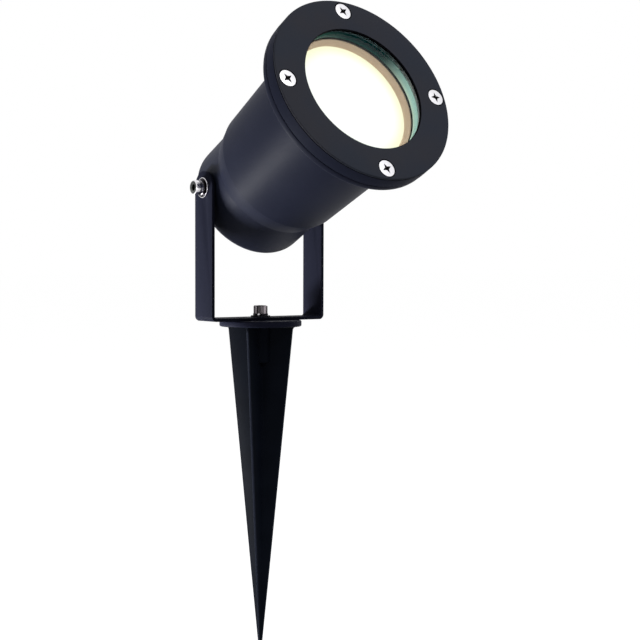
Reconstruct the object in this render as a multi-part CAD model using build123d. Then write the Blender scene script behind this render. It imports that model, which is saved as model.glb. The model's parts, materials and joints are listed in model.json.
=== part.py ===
from build123d import *
import os
from math import radians, tan

# Garden spike spotlight. Millimetres and degrees.
# The row frame: +X runs across the bracket's arms, +Z is up, and the head looks towards -Y.
# The origin is the middle of the spike's flange, on its underside, which is the ground line.
# Head pieces are drawn on their own axis: local +Z is the beam, counted from the tilt pivot.

# Placing of the head and turn of the spike under the bracket, as stored
beam_tilt = 26.4            # beam above the horizon
pivot_rise = 64.8           # tilt pivot above the bracket's underside
spike_turn = 35.0           # blades, about the upright axis
face_turn = -2.0            # face screws, about the beam

# Housing
wall = 3.0
over = 1.0                  # how far a cutting shape runs past the face that it cuts
lamp_side_gap = 1.0         # lamp rim to the barrel's bore
shoulder_rise = 2.7         # shoulder's radius over the tail's
shoulder_at = 23.4
shoulder_length = 10.2
shoulder_step = 0.2
shoulder_swell = 0.58       # share of its rise that the shoulder has gained ...
shoulder_swell_at = 0.5     # ... at this share of its length
dome_at = -7.6
dome_depth = 9.4
dome_flat_radius = 9.6
flange_inset = 0.3          # flange inside the ring's edge
flange_thickness = 3.2
flange_edge = 0.9
flange_fillet = 2.0

# Front ring and glass
ring_depth = 7.3
ring_gap = 0.4              # parting line between ring and flange
ring_edge = 0.5
opening_edge = 0.3
lip = 1.5
lip_overlap = 4.2           # ring's lip over the glass
glass_ledge = 1.8           # glass beyond the barrel's bore
glass_thickness = 4.0
glass_edge = 0.4
glass_side_gap = 0.4
gasket_thickness = 0.5
gasket_width = 3.4
skirt_thickness = 0.9
skirt_length = 3.4
skirt_gap = 0.2
screw_beyond_glass = 6.0    # screw's middle outside the glass's edge ...
screw_to_edge = 5.5         # ... and inside the ring's edge

# M4 fasteners
m4_radius = 2.0
cap_head_radius = 3.5
cap_head_height = 4.0
cap_head_edge = 0.35
cap_socket_flats = 3.0
cap_socket_depth = 2.2
flat_washer_radius = 4.9
flat_washer_thickness = 0.8
spring_washer_radius = 3.75
spring_washer_thickness = 1.0
spring_washer_split = 0.7
spring_washer_lean = 25.0   # of the cut through the washer
base_split_turn = 235.0     # where the base spring washer is split
pan_head_ratio = 1.8        # head radius over shank radius
pan_rise_ratio = 1.3        # head height over shank radius
pan_slot_width = 0.7
pan_slot_share = 0.4        # depth as a share of the head's height
thread_gap = 0.05           # screw in its own threaded hole, on the radius
pin_gap = 0.1               # bolt in a bracket hole, on the radius
csk_head_radius = 4.0
csk_head_height = 2.4
csk_length = 10.0
cross_span = 4.2
cross_width = 0.9
cross_depth = 1.5
pivot_bolt_length = 10.0
base_bolt_length = 12.0

# Pivot lands on the housing
land_radius = 7.0
land_height = 0.2
friction_washer_thickness = 0.5
friction_washer_radius = 6.4
pivot_boss_depth = 6.7

# Bracket strip
strip_thickness = 1.5
strip_width = 16.0
bend_radius = 1.0

# Spike
spike_flange_margin = 2.0   # flange beyond the blades
spike_flange_thickness = 3.1
spike_flange_edge = 0.8
blade_half_span = 17.2
blade_length = 161.3
blade_tip_half_span = 1.15
blade_point = 2.3
blade_thickness = 2.0
blade_flare = 1.3
spike_boss_radius = 5.9
spike_boss_length = 18.0
insert_radius = 2.9
insert_length = 8.0
insert_sink = 0.2
base_hole_spare = 2.0       # the spike's hole goes this much deeper than the bolt

# Reflector lamp with a 27 mm screw cap
lamp_radius = 32.2
lamp_setback = 11.65        # front face to lamp rim
lamp_length = 80.0
lamp_rim_wall = 0.6
lens_inset = 2.2            # lens inside the lamp's rim
lens_setback = 2.65
lens_thickness = 1.5
lens_ledge = 1.5
lamp_straight = 6.5
lamp_wall = 3.0
bowl_swell = 0.70           # share of its rise from neck to rim that the bowl has gained ...
bowl_swell_at = 0.47        # ... at this share of its length
board_thickness = 1.6
board_setback = 8.8
led_size = 3.0
led_height = 0.8
led_circle_radius = 17.0
led_count = 10
neck_radius = 14.2
neck_length = 9.0
neck_flare = 1.0
plug_depth = 5.0            # the body's plug in the metal cap
plug_floor = 1.0
plug_wall = 1.5
board_edge_gap = 0.3
cap_radius = 13.05
cap_wall = 0.5
cap_length = 21.5
cap_ridge = 0.45
cap_turns = 5
cap_thread_root = 0.2       # the thread's rings start this deep in the shell
cap_rim_height = 1.5
cap_end_height = 5.0
cap_insulator_plug = 2.0
cap_insulator_radius = 6.0
contact_radius = 4.6
contact_height = 1.3
contact_flat = 0.5          # share of the contact's radius that is flat
driver_width = 21.0
driver_length = 26.0
driver_gap = 1.0
choke_width = 9.0
choke_height = 6.0
choke_length = 9.0
choke_at = 15.0
capacitor_radius = 3.5
capacitor_length = 10.0
capacitor_at = 14.0
capacitor_bed = 0.3         # how far the capacitor is bedded in the driver board

# Lampholder and its fixing
holder_radius = 19.5
holder_top_gap = 0.45       # holder's mouth below the top of the lamp's cap
holder_floor = 5.5
holder_below_contact = 3.95
holder_wall_gap = 0.05
shell_wall = 0.5
shell_gap = 0.15            # lamp cap in the holder's shell, on the radius
shell_length = 21.0
shell_setback = 1.5
holder_rib = 0.8
holder_rib_width = 3.0
tongue_width = 6.0
tongue_thickness = 0.5
tongue_foot = 10.0          # foot's end to the axis
tongue_bend = 5.5           # foot's bend to the axis
tongue_rise_end = 2.0
tongue_tip = 3.0
tongue_slant = 0.4
plate_thickness = 1.2
plate_ear_width = 7.0
plate_middle_width = 22.4
plate_hole_radius = 5.5
plate_screw_gap = 0.8       # screw's head to the holder's side
holder_screw_spacing = 17.0
m3_radius = 1.5
pillar_radius = 3.4
pillar_side_gap = 1.4       # pillar to the tail's bore
plate_screw_length = 6.0
hole_spare = 0.5            # a blind hole goes this much deeper than its screw
holder_screw_show = 0.6     # the holder screws come this far through the plate
holder_screw_turn = 35.0

# Terminals, terminal block and inner leads
terminal_size = 5.0
terminal_length = 8.0
terminal_offset = 8.0
terminal_reach = 5.0        # terminal's outer face beyond the holder
terminal_lift = 3.0         # above the holder's back
terminal_tail_width = 3.0
terminal_tail_length = 4.0
terminal_tail_step = 1.0
terminal_bore_depth = 4.0
pocket_gap = 0.1
block_width = 18.0
block_height = 7.0
block_length = 16.0
block_at = 24.0
pad_height = 2.8
block_way_pitch = 5.5
block_way_radius = 1.5
block_tube_gap = 0.05
block_tube_inset = 1.0
block_screw_radius = 1.0
block_screw_length = 9.0
pad_width = 10.8
pad_length = 9.6
lead_radius = 0.9
lead_entry = 3.0            # how far a lead runs into its terminal
lead_straight = 8.0         # its straight run at each end, to the bend's corner
earth_boss_radius = 4.5
earth_boss_at = 6.0
earth_boss_height = 2.2
earth_screw_length = 4.5
earth_tag_radius = 3.9
earth_tag_thickness = 0.8
earth_barrel_radius = 1.5
earth_barrel_length = 5.0
earth_tongue_width = 2.4
earth_tongue_length = 3.0
earth_tongue_root = 0.5
earth_barrel_at = 2.0       # barrel's end beyond the tag's ring

# Cable gland
gland_thread_radius = 6.0
gland_thread_show = 0.6     # thread beyond the locknut
gland_to_plate = 2.7        # thread's end to the holder's plate
gland_flats = 15.0
gland_hex_thickness = 4.0
gland_washer_thickness = 1.0
gland_sleeve_radius = 6.2
gland_sleeve_bore = 5.0
gland_sleeve_length = 6.0
gland_bore = 4.2
gland_cap_radius = 7.6
gland_cap_length = 10.5
gland_cap_gap = 0.5
gland_cap_hole = 4.1
gland_cap_wall = 1.2
gland_cap_edge = 1.6
gland_seal_gap = 0.05
gland_rim_gap = 0.3
grip_groove_radius = 1.0
grip_groove_set = 0.5       # groove's middle outside the cap's surface
grip_groove_inset = 1.0
grip_groove_count = 12
cable_radius = 3.5
locknut_thickness = 3.0
locknut_flats = 16.0

# Worked out from the sizes above: across the head, from the lamp and its holder outwards
bore_front_radius = lamp_radius + lamp_side_gap
barrel_front_radius = bore_front_radius + wall
glass_radius = bore_front_radius + glass_ledge
opening_radius = glass_radius - lip_overlap
screw_radius = glass_radius + screw_beyond_glass
ring_radius = screw_radius + screw_to_edge
flange_radius = ring_radius - flange_inset
lens_radius = lamp_radius - lens_inset
board_radius = lens_radius - lens_ledge
plate_screw_out = holder_radius + m3_radius * pan_head_ratio + plate_screw_gap
tail_bore = plate_screw_out + pillar_radius + pillar_side_gap
tail_radius = tail_bore + wall
shoulder_radius = tail_radius + shoulder_rise
terminal_out = holder_radius + terminal_reach
block_out = shoulder_radius - wall - pad_height
earth_boss_out = tail_bore - earth_boss_height
earth_rise = earth_boss_out - block_out + block_height / 2
cap_inner = cap_radius - cap_ridge - cap_wall
plug_radius = cap_inner - thread_gap
shell_inner = cap_radius + shell_gap
shell_outer = shell_inner + shell_wall

# ... along the head, from the tail to the face
rear_at = dome_at - dome_depth
shoulder_low = shoulder_at - shoulder_length
gland_hex_back = rear_at - gland_washer_thickness - gland_hex_thickness
gland_thread_reach = wall + locknut_thickness + gland_thread_show
plate_back = rear_at + gland_thread_reach + gland_to_plate
holder_back = plate_back + plate_thickness
holder_inside = holder_back + holder_floor
lamp_end = holder_inside + holder_below_contact
lamp_front = lamp_end + lamp_length
cap_bottom = lamp_end + cap_end_height
cap_top = cap_bottom + cap_length
holder_front = cap_top - holder_top_gap
neck_top = cap_top + neck_length
plug_low = cap_top - plug_depth
lens_front = lamp_front - lens_setback
lens_back = lens_front - lens_thickness
board_front = lamp_front - board_setback
board_back = board_front - board_thickness
reach = lamp_front + lamp_setback
ring_back = reach - ring_depth
flange_front = ring_back - ring_gap
flange_back = flange_front - flange_thickness
lip_back = reach - lip
glass_front = lip_back - gasket_thickness
glass_back = glass_front - glass_thickness

# ... and for the bracket and the spike
pivot_height = spike_flange_thickness + pivot_rise
strip_top = spike_flange_thickness + strip_thickness
arm_inner = tail_radius + land_height + friction_washer_thickness
arm_outer = arm_inner + strip_thickness
washer_stack = flat_washer_thickness + spring_washer_thickness
blade_root = blade_half_span + blade_flare
spike_flange_radius = blade_root + spike_flange_margin


def disc(radius, low, high):
    return Pos(0, 0, low) * Cylinder(radius, high - low, align=(Align.CENTER, Align.CENTER, Align.MIN))


def collar(outer, inner, low, high):
    return disc(outer, low, high) - disc(inner, low - over, high + over)


def slab(width, depth, low, high):
    return Pos(0, 0, low) * Box(width, depth, high - low, align=(Align.CENTER, Align.CENTER, Align.MIN))


def turned(*edges):
    """A solid turned about Z from edges given as (radius, height)."""
    outline = Curve() + list(edges)
    return revolve(Plane.XZ * make_face(outline), Axis.Z)


def turned_polygon(*points):
    return turned(Polyline(*points, close=True))


def hexagon(across_flats, low, high):
    side = RegularPolygon(across_flats / 2, 6, major_radius=False)
    return Pos(0, 0, low) * extrude(side, high - low)


# Fasteners are drawn upright: the underside of the head is at height 0 and the shank runs down.

def cap_screw(length):
    head = turned_polygon(
        (0, 0),
        (cap_head_radius, 0),
        (cap_head_radius, cap_head_height - cap_head_edge),
        (cap_head_radius - cap_head_edge, cap_head_height),
        (0, cap_head_height),
    )
    socket = hexagon(cap_socket_flats, cap_head_height - cap_socket_depth, cap_head_height + over)
    return head - socket + disc(m4_radius, -length, 0)


def pan_screw(radius, length):
    head_radius = radius * pan_head_ratio
    head_height = radius * pan_rise_ratio
    head = disc(head_radius, 0, head_height)
    head = fillet(head.edges().group_by(Axis.Z)[-1], head_height / 2)
    slot = slab(3 * head_radius, pan_slot_width, head_height * (1 - pan_slot_share), head_height + over)
    return head - slot + disc(radius, -length, 0)


def countersunk_screw(length):
    """The top of the head is at height 0."""
    body = turned_polygon(
        (0, 0),
        (csk_head_radius, 0),
        (m4_radius, -csk_head_height),
        (m4_radius, -length),
        (0, -length),
    )
    for turn in (0, 90):
        body -= Rot(0, 0, turn) * slab(cross_span, cross_width, -cross_depth, over)
    return body


def flat_washer():
    return collar(flat_washer_radius, m4_radius + pin_gap, 0, flat_washer_thickness)


def spring_washer(split_turn):
    coil = collar(spring_washer_radius, m4_radius + pin_gap, 0, spring_washer_thickness)
    gap = Box(spring_washer_radius * 2, spring_washer_split, spring_washer_thickness * 4)
    middle = Pos(spring_washer_radius, 0, spring_washer_thickness / 2)
    return coil - Rot(0, 0, split_turn) * middle * Rot(spring_washer_lean, 0, 0) * gap


# ---- Spike ----

def ground_spike():
    edge = spike_flange_edge
    top = spike_flange_thickness
    body = turned(
        Line((0, 0), (spike_flange_radius - edge, 0)),
        RadiusArc((spike_flange_radius - edge, 0), (spike_flange_radius, edge), edge),
        Line((spike_flange_radius, edge), (spike_flange_radius, top - edge)),
        RadiusArc((spike_flange_radius, top - edge), (spike_flange_radius - edge, top), edge),
        Line((spike_flange_radius - edge, top), (0, top)),
        Line((0, top), (0, 0)),
    )
    tip = blade_length
    side = Polyline(
        (0, -tip),
        (blade_tip_half_span, blade_point - tip),
        (blade_half_span, -blade_flare),
        (blade_root, 0),
        (blade_root, top / 2),
        (-blade_root, top / 2),
        (-blade_root, 0),
        (-blade_half_span, -blade_flare),
        (-blade_tip_half_span, blade_point - tip),
        close=True,
    )
    blade = extrude(Plane.XZ * make_face(side), blade_thickness / 2, both=True)
    for turn in (0, 90):
        body += Rot(0, 0, spike_turn + turn) * blade
    body += disc(spike_boss_radius, -spike_boss_length, top / 2)
    body -= disc(insert_radius + thread_gap, top - insert_sink - insert_length, top + over)
    hole_end = strip_top + washer_stack - base_bolt_length - base_hole_spare
    return body - disc(m4_radius + pin_gap, hole_end, top)


def spike_insert():
    top = spike_flange_thickness - insert_sink
    return collar(insert_radius, m4_radius + thread_gap, top - insert_length, top)


def base_bolt():
    return Pos(0, 0, strip_top + washer_stack) * cap_screw(base_bolt_length)


def base_spring_washer():
    return Pos(0, 0, strip_top + flat_washer_thickness) * spring_washer(base_split_turn)


def base_flat_washer():
    return Pos(0, 0, strip_top) * flat_washer()


# ---- Bracket ----

def bracket():
    low = spike_flange_thickness
    outside = Pos(0, (pivot_height + low) / 2) * Rectangle(2 * arm_outer, pivot_height - low)
    corners = outside.vertices().group_by(Axis.Y)[0]
    outside = fillet(corners, bend_radius + strip_thickness)
    inside = Pos(0, (pivot_height + strip_top) / 2) * Rectangle(2 * arm_inner, pivot_height - strip_top)
    corners = inside.vertices().group_by(Axis.Y)[0]
    inside = fillet(corners, bend_radius)
    strip = extrude(Plane.XZ * (outside - inside), strip_width / 2, both=True)
    for side in (-1, 1):
        middle = side * (arm_inner + strip_thickness / 2)
        strip += Pos(middle, 0, pivot_height) * Rot(0, 90, 0) * Cylinder(strip_width / 2, strip_thickness)
    hole = m4_radius + pin_gap
    strip -= Pos(0, 0, pivot_height) * Rot(0, 90, 0) * Cylinder(hole, 3 * arm_outer)
    return strip - disc(hole, low - over, strip_top + over)


# ---- Housing ----

def barrel_radius_at(height):
    slope = (barrel_front_radius - shoulder_radius) / (flange_back - shoulder_at)
    return shoulder_radius + slope * (height - shoulder_at)


def dome_arc(radius, depth):
    """A quarter ellipse from the dome's flat out to the tail's side."""
    centre = (dome_flat_radius, dome_at)
    return EllipticalCenterArc(centre, radius - dome_flat_radius, depth, start_angle=270, arc_size=90)


def housing_outside():
    fillet_low = flange_back - flange_fillet
    step_radius = shoulder_radius - shoulder_step
    swell = (
        tail_radius + (step_radius - tail_radius) * shoulder_swell,
        shoulder_low + shoulder_length * shoulder_swell_at,
    )
    fillet_radius = barrel_radius_at(fillet_low)
    edge = flange_edge
    return turned(
        Line((0, rear_at), (dome_flat_radius, rear_at)),
        dome_arc(tail_radius, dome_depth),
        Line((tail_radius, dome_at), (tail_radius, shoulder_low)),
        ThreePointArc((tail_radius, shoulder_low), swell, (step_radius, shoulder_at)),
        Line((step_radius, shoulder_at), (shoulder_radius, shoulder_at)),
        Line((shoulder_radius, shoulder_at), (fillet_radius, fillet_low)),
        RadiusArc((fillet_radius, fillet_low), (fillet_radius + flange_fillet, flange_back), -flange_fillet),
        Line((fillet_radius + flange_fillet, flange_back), (flange_radius - edge, flange_back)),
        RadiusArc((flange_radius - edge, flange_back), (flange_radius, flange_back + edge), edge),
        Line((flange_radius, flange_back + edge), (flange_radius, flange_front)),
        Line((flange_radius, flange_front), (0, flange_front)),
        Line((0, flange_front), (0, rear_at)),
    )


def housing_inside():
    floor = rear_at + wall
    top = flange_front + over
    return turned(
        Line((0, floor), (dome_flat_radius, floor)),
        dome_arc(tail_bore, dome_depth - wall),
        Line((tail_bore, dome_at), (tail_bore, shoulder_low)),
        Line((tail_bore, shoulder_low), (shoulder_radius - wall, shoulder_at)),
        Line((shoulder_radius - wall, shoulder_at), (bore_front_radius, flange_back)),
        Line((bore_front_radius, flange_back), (bore_front_radius, top)),
        Line((bore_front_radius, top), (0, top)),
        Line((0, top), (0, floor)),
    )


def housing():
    outside = housing_outside()
    inside = housing_inside()
    bosses = Rot(0, 90, 0) * Cylinder(land_radius, 2 * tail_radius)
    bosses -= Box(2 * (tail_radius + land_height - pivot_boss_depth), 3 * land_radius, 3 * land_radius)
    for side in (-1, 1):
        bosses += Pos(0, side * plate_screw_out, 0) * disc(pillar_radius, rear_at, plate_back)
    pad_depth = barrel_front_radius - block_out
    block_pad = Box(pad_width, pad_depth, pad_length, align=(Align.CENTER, Align.MAX, Align.CENTER))
    block_pad = Pos(0, -block_out, block_at + block_length / 2) * block_pad
    earth_boss = earth_place() * disc(earth_boss_radius, earth_boss_out - barrel_front_radius, 0)
    body = outside - inside + ((bosses + block_pad + earth_boss) & outside)
    land = Rot(0, 90, 0) * Cylinder(land_radius, 2 * (tail_radius + land_height))
    body += land - Box(2 * (tail_radius - wall), 3 * land_radius, 3 * land_radius)
    body -= Rot(0, 90, 0) * Cylinder(m4_radius + thread_gap, 3 * tail_radius)
    body -= disc(gland_thread_radius + thread_gap, rear_at - over, rear_at + wall + over)
    plate_hole = disc(m3_radius + thread_gap, holder_back - plate_screw_length - hole_spare, holder_back)
    block_hole = disc(block_screw_radius + thread_gap, -block_screw_length - hole_spare, 0)
    for side in (-1, 1):
        body -= Pos(0, side * plate_screw_out, 0) * plate_hole
        body -= block_screw_place(side) * block_hole
    body -= earth_place() * disc(m4_radius + thread_gap, -earth_screw_length, over)
    for place in screw_places():
        body -= place * disc(m4_radius + thread_gap, flange_back - over, flange_front + over)
    return body


def block_screw_place(side):
    """The fixing screws point outwards through the block, into the housing's pad."""
    middle = Pos(side * block_way_pitch / 2, block_height - block_out, block_at + block_length / 2)
    return middle * Rot(-90, 0, 0)


def earth_place():
    """The top of the earth boss, facing the head's axis."""
    return Pos(0, -earth_boss_out, earth_boss_at) * Rot(-90, 0, 0)


# ---- Front ring, glass and seals ----

def screw_places():
    return PolarLocations(screw_radius, 4, start_angle=face_turn)


def front_ring():
    seat = glass_radius + glass_side_gap
    body = turned_polygon(
        (opening_radius, lip_back),
        (opening_radius, reach - opening_edge),
        (opening_radius + opening_edge, reach),
        (ring_radius - ring_edge, reach),
        (ring_radius, reach - ring_edge),
        (ring_radius, ring_back),
        (seat, ring_back),
        (seat, lip_back),
    )
    head = turned_polygon(
        (0, reach + over),
        (csk_head_radius + pin_gap, reach + over),
        (csk_head_radius + pin_gap, reach),
        (m4_radius + pin_gap, reach - csk_head_height),
        (m4_radius + pin_gap, ring_back - over),
        (0, ring_back - over),
    )
    for place in screw_places():
        body -= place * head
    return body


def face_screws():
    screw = Pos(0, 0, reach) * countersunk_screw(csk_length)
    return [place * Rot(0, 0, 45) * screw for place in screw_places()]


def front_gasket():
    return collar(glass_radius, glass_radius - gasket_width, glass_front, lip_back)


def glass_pane():
    edge = glass_edge
    return turned_polygon(
        (0, glass_back),
        (glass_radius - edge, glass_back),
        (glass_radius, glass_back + edge),
        (glass_radius, glass_front - edge),
        (glass_radius - edge, glass_front),
        (0, glass_front),
    )


def glass_seal():
    """An L-section ring: a bed for the glass and a skirt down the housing's bore."""
    skirt_outer = bore_front_radius - skirt_gap
    skirt_inner = skirt_outer - skirt_thickness
    return turned_polygon(
        (skirt_inner, flange_front - skirt_length),
        (skirt_outer, flange_front - skirt_length),
        (skirt_outer, flange_front),
        (glass_radius, flange_front),
        (glass_radius, glass_back),
        (skirt_inner, glass_back),
    )


# ---- Lamp ----

def bowl_arc(rim_radius, rim_height, neck):
    """The lamp's bowl, from its rim down to the top of its neck."""
    middle = (
        neck + (rim_radius - neck) * bowl_swell,
        neck_top + (rim_height - neck_top) * bowl_swell_at,
    )
    return ThreePointArc((rim_radius, rim_height), middle, (neck, neck_top))


def lamp_body():
    straight = lamp_front - lamp_straight
    neck_outer = neck_radius + neck_flare
    outside = turned(
        Line((0, lamp_front), (lamp_radius, lamp_front)),
        Line((lamp_radius, lamp_front), (lamp_radius, straight)),
        bowl_arc(lamp_radius, straight, neck_outer),
        Line((neck_outer, neck_top), (neck_radius, cap_top)),
        Line((neck_radius, cap_top), (plug_radius, cap_top)),
        Line((plug_radius, cap_top), (plug_radius, plug_low)),
        Line((plug_radius, plug_low), (0, plug_low)),
        Line((0, plug_low), (0, lamp_front)),
    )
    mouth = turned_polygon(
        (0, lamp_front),
        (lamp_radius - lamp_rim_wall, lamp_front),
        (lens_radius + thread_gap, lens_front),
        (lens_radius + thread_gap, lens_back),
        (board_radius, lens_back),
        (board_radius, board_back),
        (0, board_back),
    )
    bowl_radius = lamp_radius - 2 * lamp_wall
    bowl_top = board_back + over
    hollow_low = plug_low - plug_floor
    hollow = turned(
        Line((0, bowl_top), (bowl_radius, bowl_top)),
        Line((bowl_radius, bowl_top), (bowl_radius, straight - lamp_wall)),
        bowl_arc(bowl_radius, straight - lamp_wall, neck_outer - lamp_wall),
        Line((neck_outer - lamp_wall, neck_top), (plug_radius - plug_wall, cap_top)),
        Line((plug_radius - plug_wall, cap_top), (plug_radius - plug_wall, hollow_low)),
        Line((plug_radius - plug_wall, hollow_low), (0, hollow_low)),
        Line((0, hollow_low), (0, bowl_top)),
    )
    return outside - mouth - hollow


def lamp_lens():
    return disc(lens_radius, lens_back, lens_front)


def led_board():
    return disc(board_radius - board_edge_gap, board_back, board_front)


def led_chips():
    chip = Box(led_size, led_size, led_height, align=(Align.CENTER, Align.CENTER, Align.MIN))
    places = PolarLocations(led_circle_radius, led_count)
    return [Pos(0, 0, board_front) * place * chip for place in places]


def lamp_driver():
    """The driver's circuit board stands in the neck, with a choke and a capacitor."""
    low = cap_top + driver_gap
    face = board_thickness / 2
    board = slab(driver_width, board_thickness, low, low + driver_length)
    choke = slab(choke_width, choke_height, low + choke_at, low + choke_at + choke_length)
    capacitor = disc(capacitor_radius, low + capacitor_at, low + capacitor_at + capacitor_length)
    choke_out = face + choke_height / 2
    capacitor_out = face + capacitor_radius - capacitor_bed
    return board + Pos(0, choke_out, 0) * choke + Pos(0, -capacitor_out, 0) * capacitor


def lamp_cap():
    """The screw shell, with its rolled thread drawn as rings."""
    pitch = cap_length / (cap_turns + 1)
    shell_radius = cap_radius - cap_ridge
    body = collar(shell_radius, cap_inner, cap_bottom, cap_top)
    body += collar(cap_radius, cap_inner, cap_top - cap_rim_height, cap_top)
    for turn in range(cap_turns):
        middle = cap_bottom + pitch * (turn + 0.7)
        low = middle - pitch * 0.3
        high = middle + pitch * 0.3
        root = shell_radius - cap_thread_root
        body += turned(
            Line((root, low), (shell_radius, low)),
            ThreePointArc((shell_radius, low), (cap_radius, middle), (shell_radius, high)),
            Line((shell_radius, high), (root, high)),
            Line((root, high), (root, low)),
        )
    return body


def lamp_cap_insulator():
    top = cap_bottom + cap_insulator_plug
    return turned_polygon(
        (0, lamp_end + contact_height),
        (cap_insulator_radius, lamp_end + contact_height),
        (plug_radius, cap_bottom),
        (plug_radius, top),
        (0, top),
    )


def lamp_contact():
    flat = contact_radius * contact_flat
    top = lamp_end + contact_height
    return turned(
        Line((0, lamp_end), (flat, lamp_end)),
        RadiusArc((flat, lamp_end), (contact_radius, top), -2 * contact_height),
        Line((contact_radius, top), (0, top)),
        Line((0, top), (0, lamp_end)),
    )


# ---- Lampholder ----

def terminal_places():
    out = terminal_out - terminal_size / 2
    return [Pos(side * terminal_offset, -out, holder_back + terminal_lift) for side in (-1, 1)]


def holder_terminals():
    above = (Align.CENTER, Align.CENTER, Align.MIN)
    block = Box(terminal_size, terminal_size, terminal_length, align=above)
    tail_height = terminal_length - 2 * terminal_tail_step
    inward = (Align.CENTER, Align.MIN, Align.MIN)
    tail = Box(terminal_tail_width, terminal_tail_length, tail_height, align=inward)
    tail = Pos(0, terminal_size / 2, terminal_tail_step) * tail
    bore = disc(lead_radius + thread_gap, terminal_length - terminal_bore_depth, terminal_length + over)
    return [place * (block + tail - bore) for place in terminal_places()]


def holder_body():
    bore = shell_outer + holder_wall_gap
    body = disc(holder_radius, holder_back, holder_front) - disc(bore, holder_inside, holder_front + over)
    rib_high = holder_front - over
    body += collar(holder_radius + holder_rib, bore + over, rib_high - holder_rib_width, rib_high)
    pocket_side = terminal_size + 2 * pocket_gap
    pocket_depth = terminal_size + 2 * terminal_tail_length
    pocket = slab(pocket_side, pocket_depth, 0, terminal_length)
    for place in terminal_places():
        body -= place * pocket
    hole = disc(m3_radius + pin_gap, holder_back - over, holder_inside + over)
    for side in (-1, 1):
        body -= Pos(side * holder_screw_spacing / 2, 0, 0) * hole
    return body


def holder_shell():
    top = holder_front - shell_setback
    return collar(shell_outer, shell_inner, top - shell_length, top)


def holder_contact():
    """A bent tongue: a foot on the holder's floor and a sprung end under the lamp's contact."""
    rise = lamp_end - holder_inside
    side = Polyline(
        (-tongue_foot, 0),
        (-tongue_bend, 0),
        (-tongue_rise_end, rise - tongue_thickness),
        (tongue_tip, rise - tongue_thickness),
        (tongue_tip, rise),
        (-tongue_rise_end - tongue_slant, rise),
        (-tongue_bend - tongue_slant, tongue_thickness),
        (-tongue_foot, tongue_thickness),
        close=True,
    )
    tongue = extrude(Plane.YZ * make_face(side), tongue_width / 2, both=True)
    return Pos(0, 0, holder_inside) * tongue


def holder_plate():
    length = 2 * plate_screw_out + plate_ear_width
    strip = Rot(0, 0, 90) * SlotOverall(length, plate_ear_width)
    plate = Pos(0, 0, plate_back) * extrude(strip, plate_thickness)
    plate += slab(plate_middle_width, plate_middle_width, plate_back, holder_back)
    plate -= disc(plate_hole_radius, plate_back - over, holder_back + over)
    hole = disc(m3_radius + pin_gap, plate_back - over, holder_back + over)
    thread = disc(m3_radius + thread_gap, plate_back - over, holder_back + over)
    for side in (-1, 1):
        plate -= Pos(0, side * plate_screw_out, 0) * hole
        plate -= Pos(side * holder_screw_spacing / 2, 0, 0) * thread
    return plate


def plate_screws():
    screw = pan_screw(m3_radius, plate_screw_length)
    return [Pos(0, side * plate_screw_out, holder_back) * screw for side in (-1, 1)]


def holder_screws():
    length = holder_floor + plate_thickness + holder_screw_show
    screw = Rot(0, 0, holder_screw_turn) * pan_screw(m3_radius, length)
    return [Pos(side * holder_screw_spacing / 2, 0, holder_inside) * screw for side in (-1, 1)]


# ---- Terminal block, leads and earth ----

def block_way(side):
    return Pos(side * block_way_pitch, -block_out + block_height / 2, 0)


def terminal_block():
    top = block_at + block_length
    body = block_way(0) * slab(block_width, block_height, block_at, top)
    mouth = Rot(90, 0, 0) * Cylinder(block_way_radius, block_height)
    for side in (-1, 0, 1):
        body -= block_way(side) * disc(block_way_radius, block_at - over, top + over)
        for height in (block_at + block_length / 4, top - block_length / 4):
            body -= block_way(side) * Pos(0, block_height / 2, height) * mouth
    for side in (-1, 1):
        body -= block_screw_place(side) * disc(block_screw_radius + pin_gap, -block_height - over, over)
    return body


def block_screws():
    return [block_screw_place(side) * pan_screw(block_screw_radius, block_screw_length) for side in (-1, 1)]


def block_tubes():
    low = block_at + block_tube_inset
    high = block_at + block_length - block_tube_inset
    tube = collar(block_way_radius - block_tube_gap, lead_radius + thread_gap, low, high)
    return [block_way(side) * tube for side in (-1, 0, 1)]


def lead(side):
    """One core from its holder terminal to its way in the block, on straight runs joined by arcs."""
    start_height = holder_back + terminal_lift + terminal_length - lead_entry
    start = Vector(side * terminal_offset, terminal_size / 2 - terminal_out, start_height)
    end = Vector(side * block_way_pitch, block_height / 2 - block_out, block_at + lead_entry)
    first = start + Vector(0, 0, lead_straight)
    last = end - Vector(0, 0, lead_straight)
    run = min((first - start).length, (last - first).length, (end - last).length)
    turn = radians((last - first).get_angle(Vector(0, 0, 1)))
    bend = 0.45 * run / tan(turn / 2)
    path = FilletPolyline(start, first, last, end, radius=bend)
    print("lead bend radius", round(bend, 1), "lead radius", lead_radius)
    return sweep(Plane(path @ 0, z_dir=path % 0) * Circle(lead_radius), path)


def live_lead():
    return lead(-1)


def neutral_lead():
    return lead(1)


def earth_tag():
    along = (Align.CENTER, Align.MAX, Align.MIN)
    ring = collar(earth_tag_radius, m4_radius + pin_gap, 0, earth_tag_thickness)
    tongue = Box(earth_tongue_width, earth_tongue_length, earth_tag_thickness, align=along)
    tongue = Pos(0, earth_tongue_root - earth_tag_radius, 0) * tongue
    barrel = collar(earth_barrel_radius, lead_radius + thread_gap, 0, earth_barrel_length)
    barrel = Pos(0, -earth_tag_radius - earth_barrel_at, earth_rise) * Rot(90, 0, 0) * barrel
    return earth_place() * (ring + tongue + barrel)


def earth_screw():
    return earth_place() * Pos(0, 0, earth_tag_thickness) * pan_screw(m4_radius, earth_screw_length)


def earth_lead():
    barrel_end = earth_place() * Pos(0, -earth_tag_radius - earth_barrel_at, earth_rise)
    low = barrel_end.position.Z + over
    return block_way(0) * disc(lead_radius, low, block_at + lead_entry)


# ---- Cable gland ----

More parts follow.
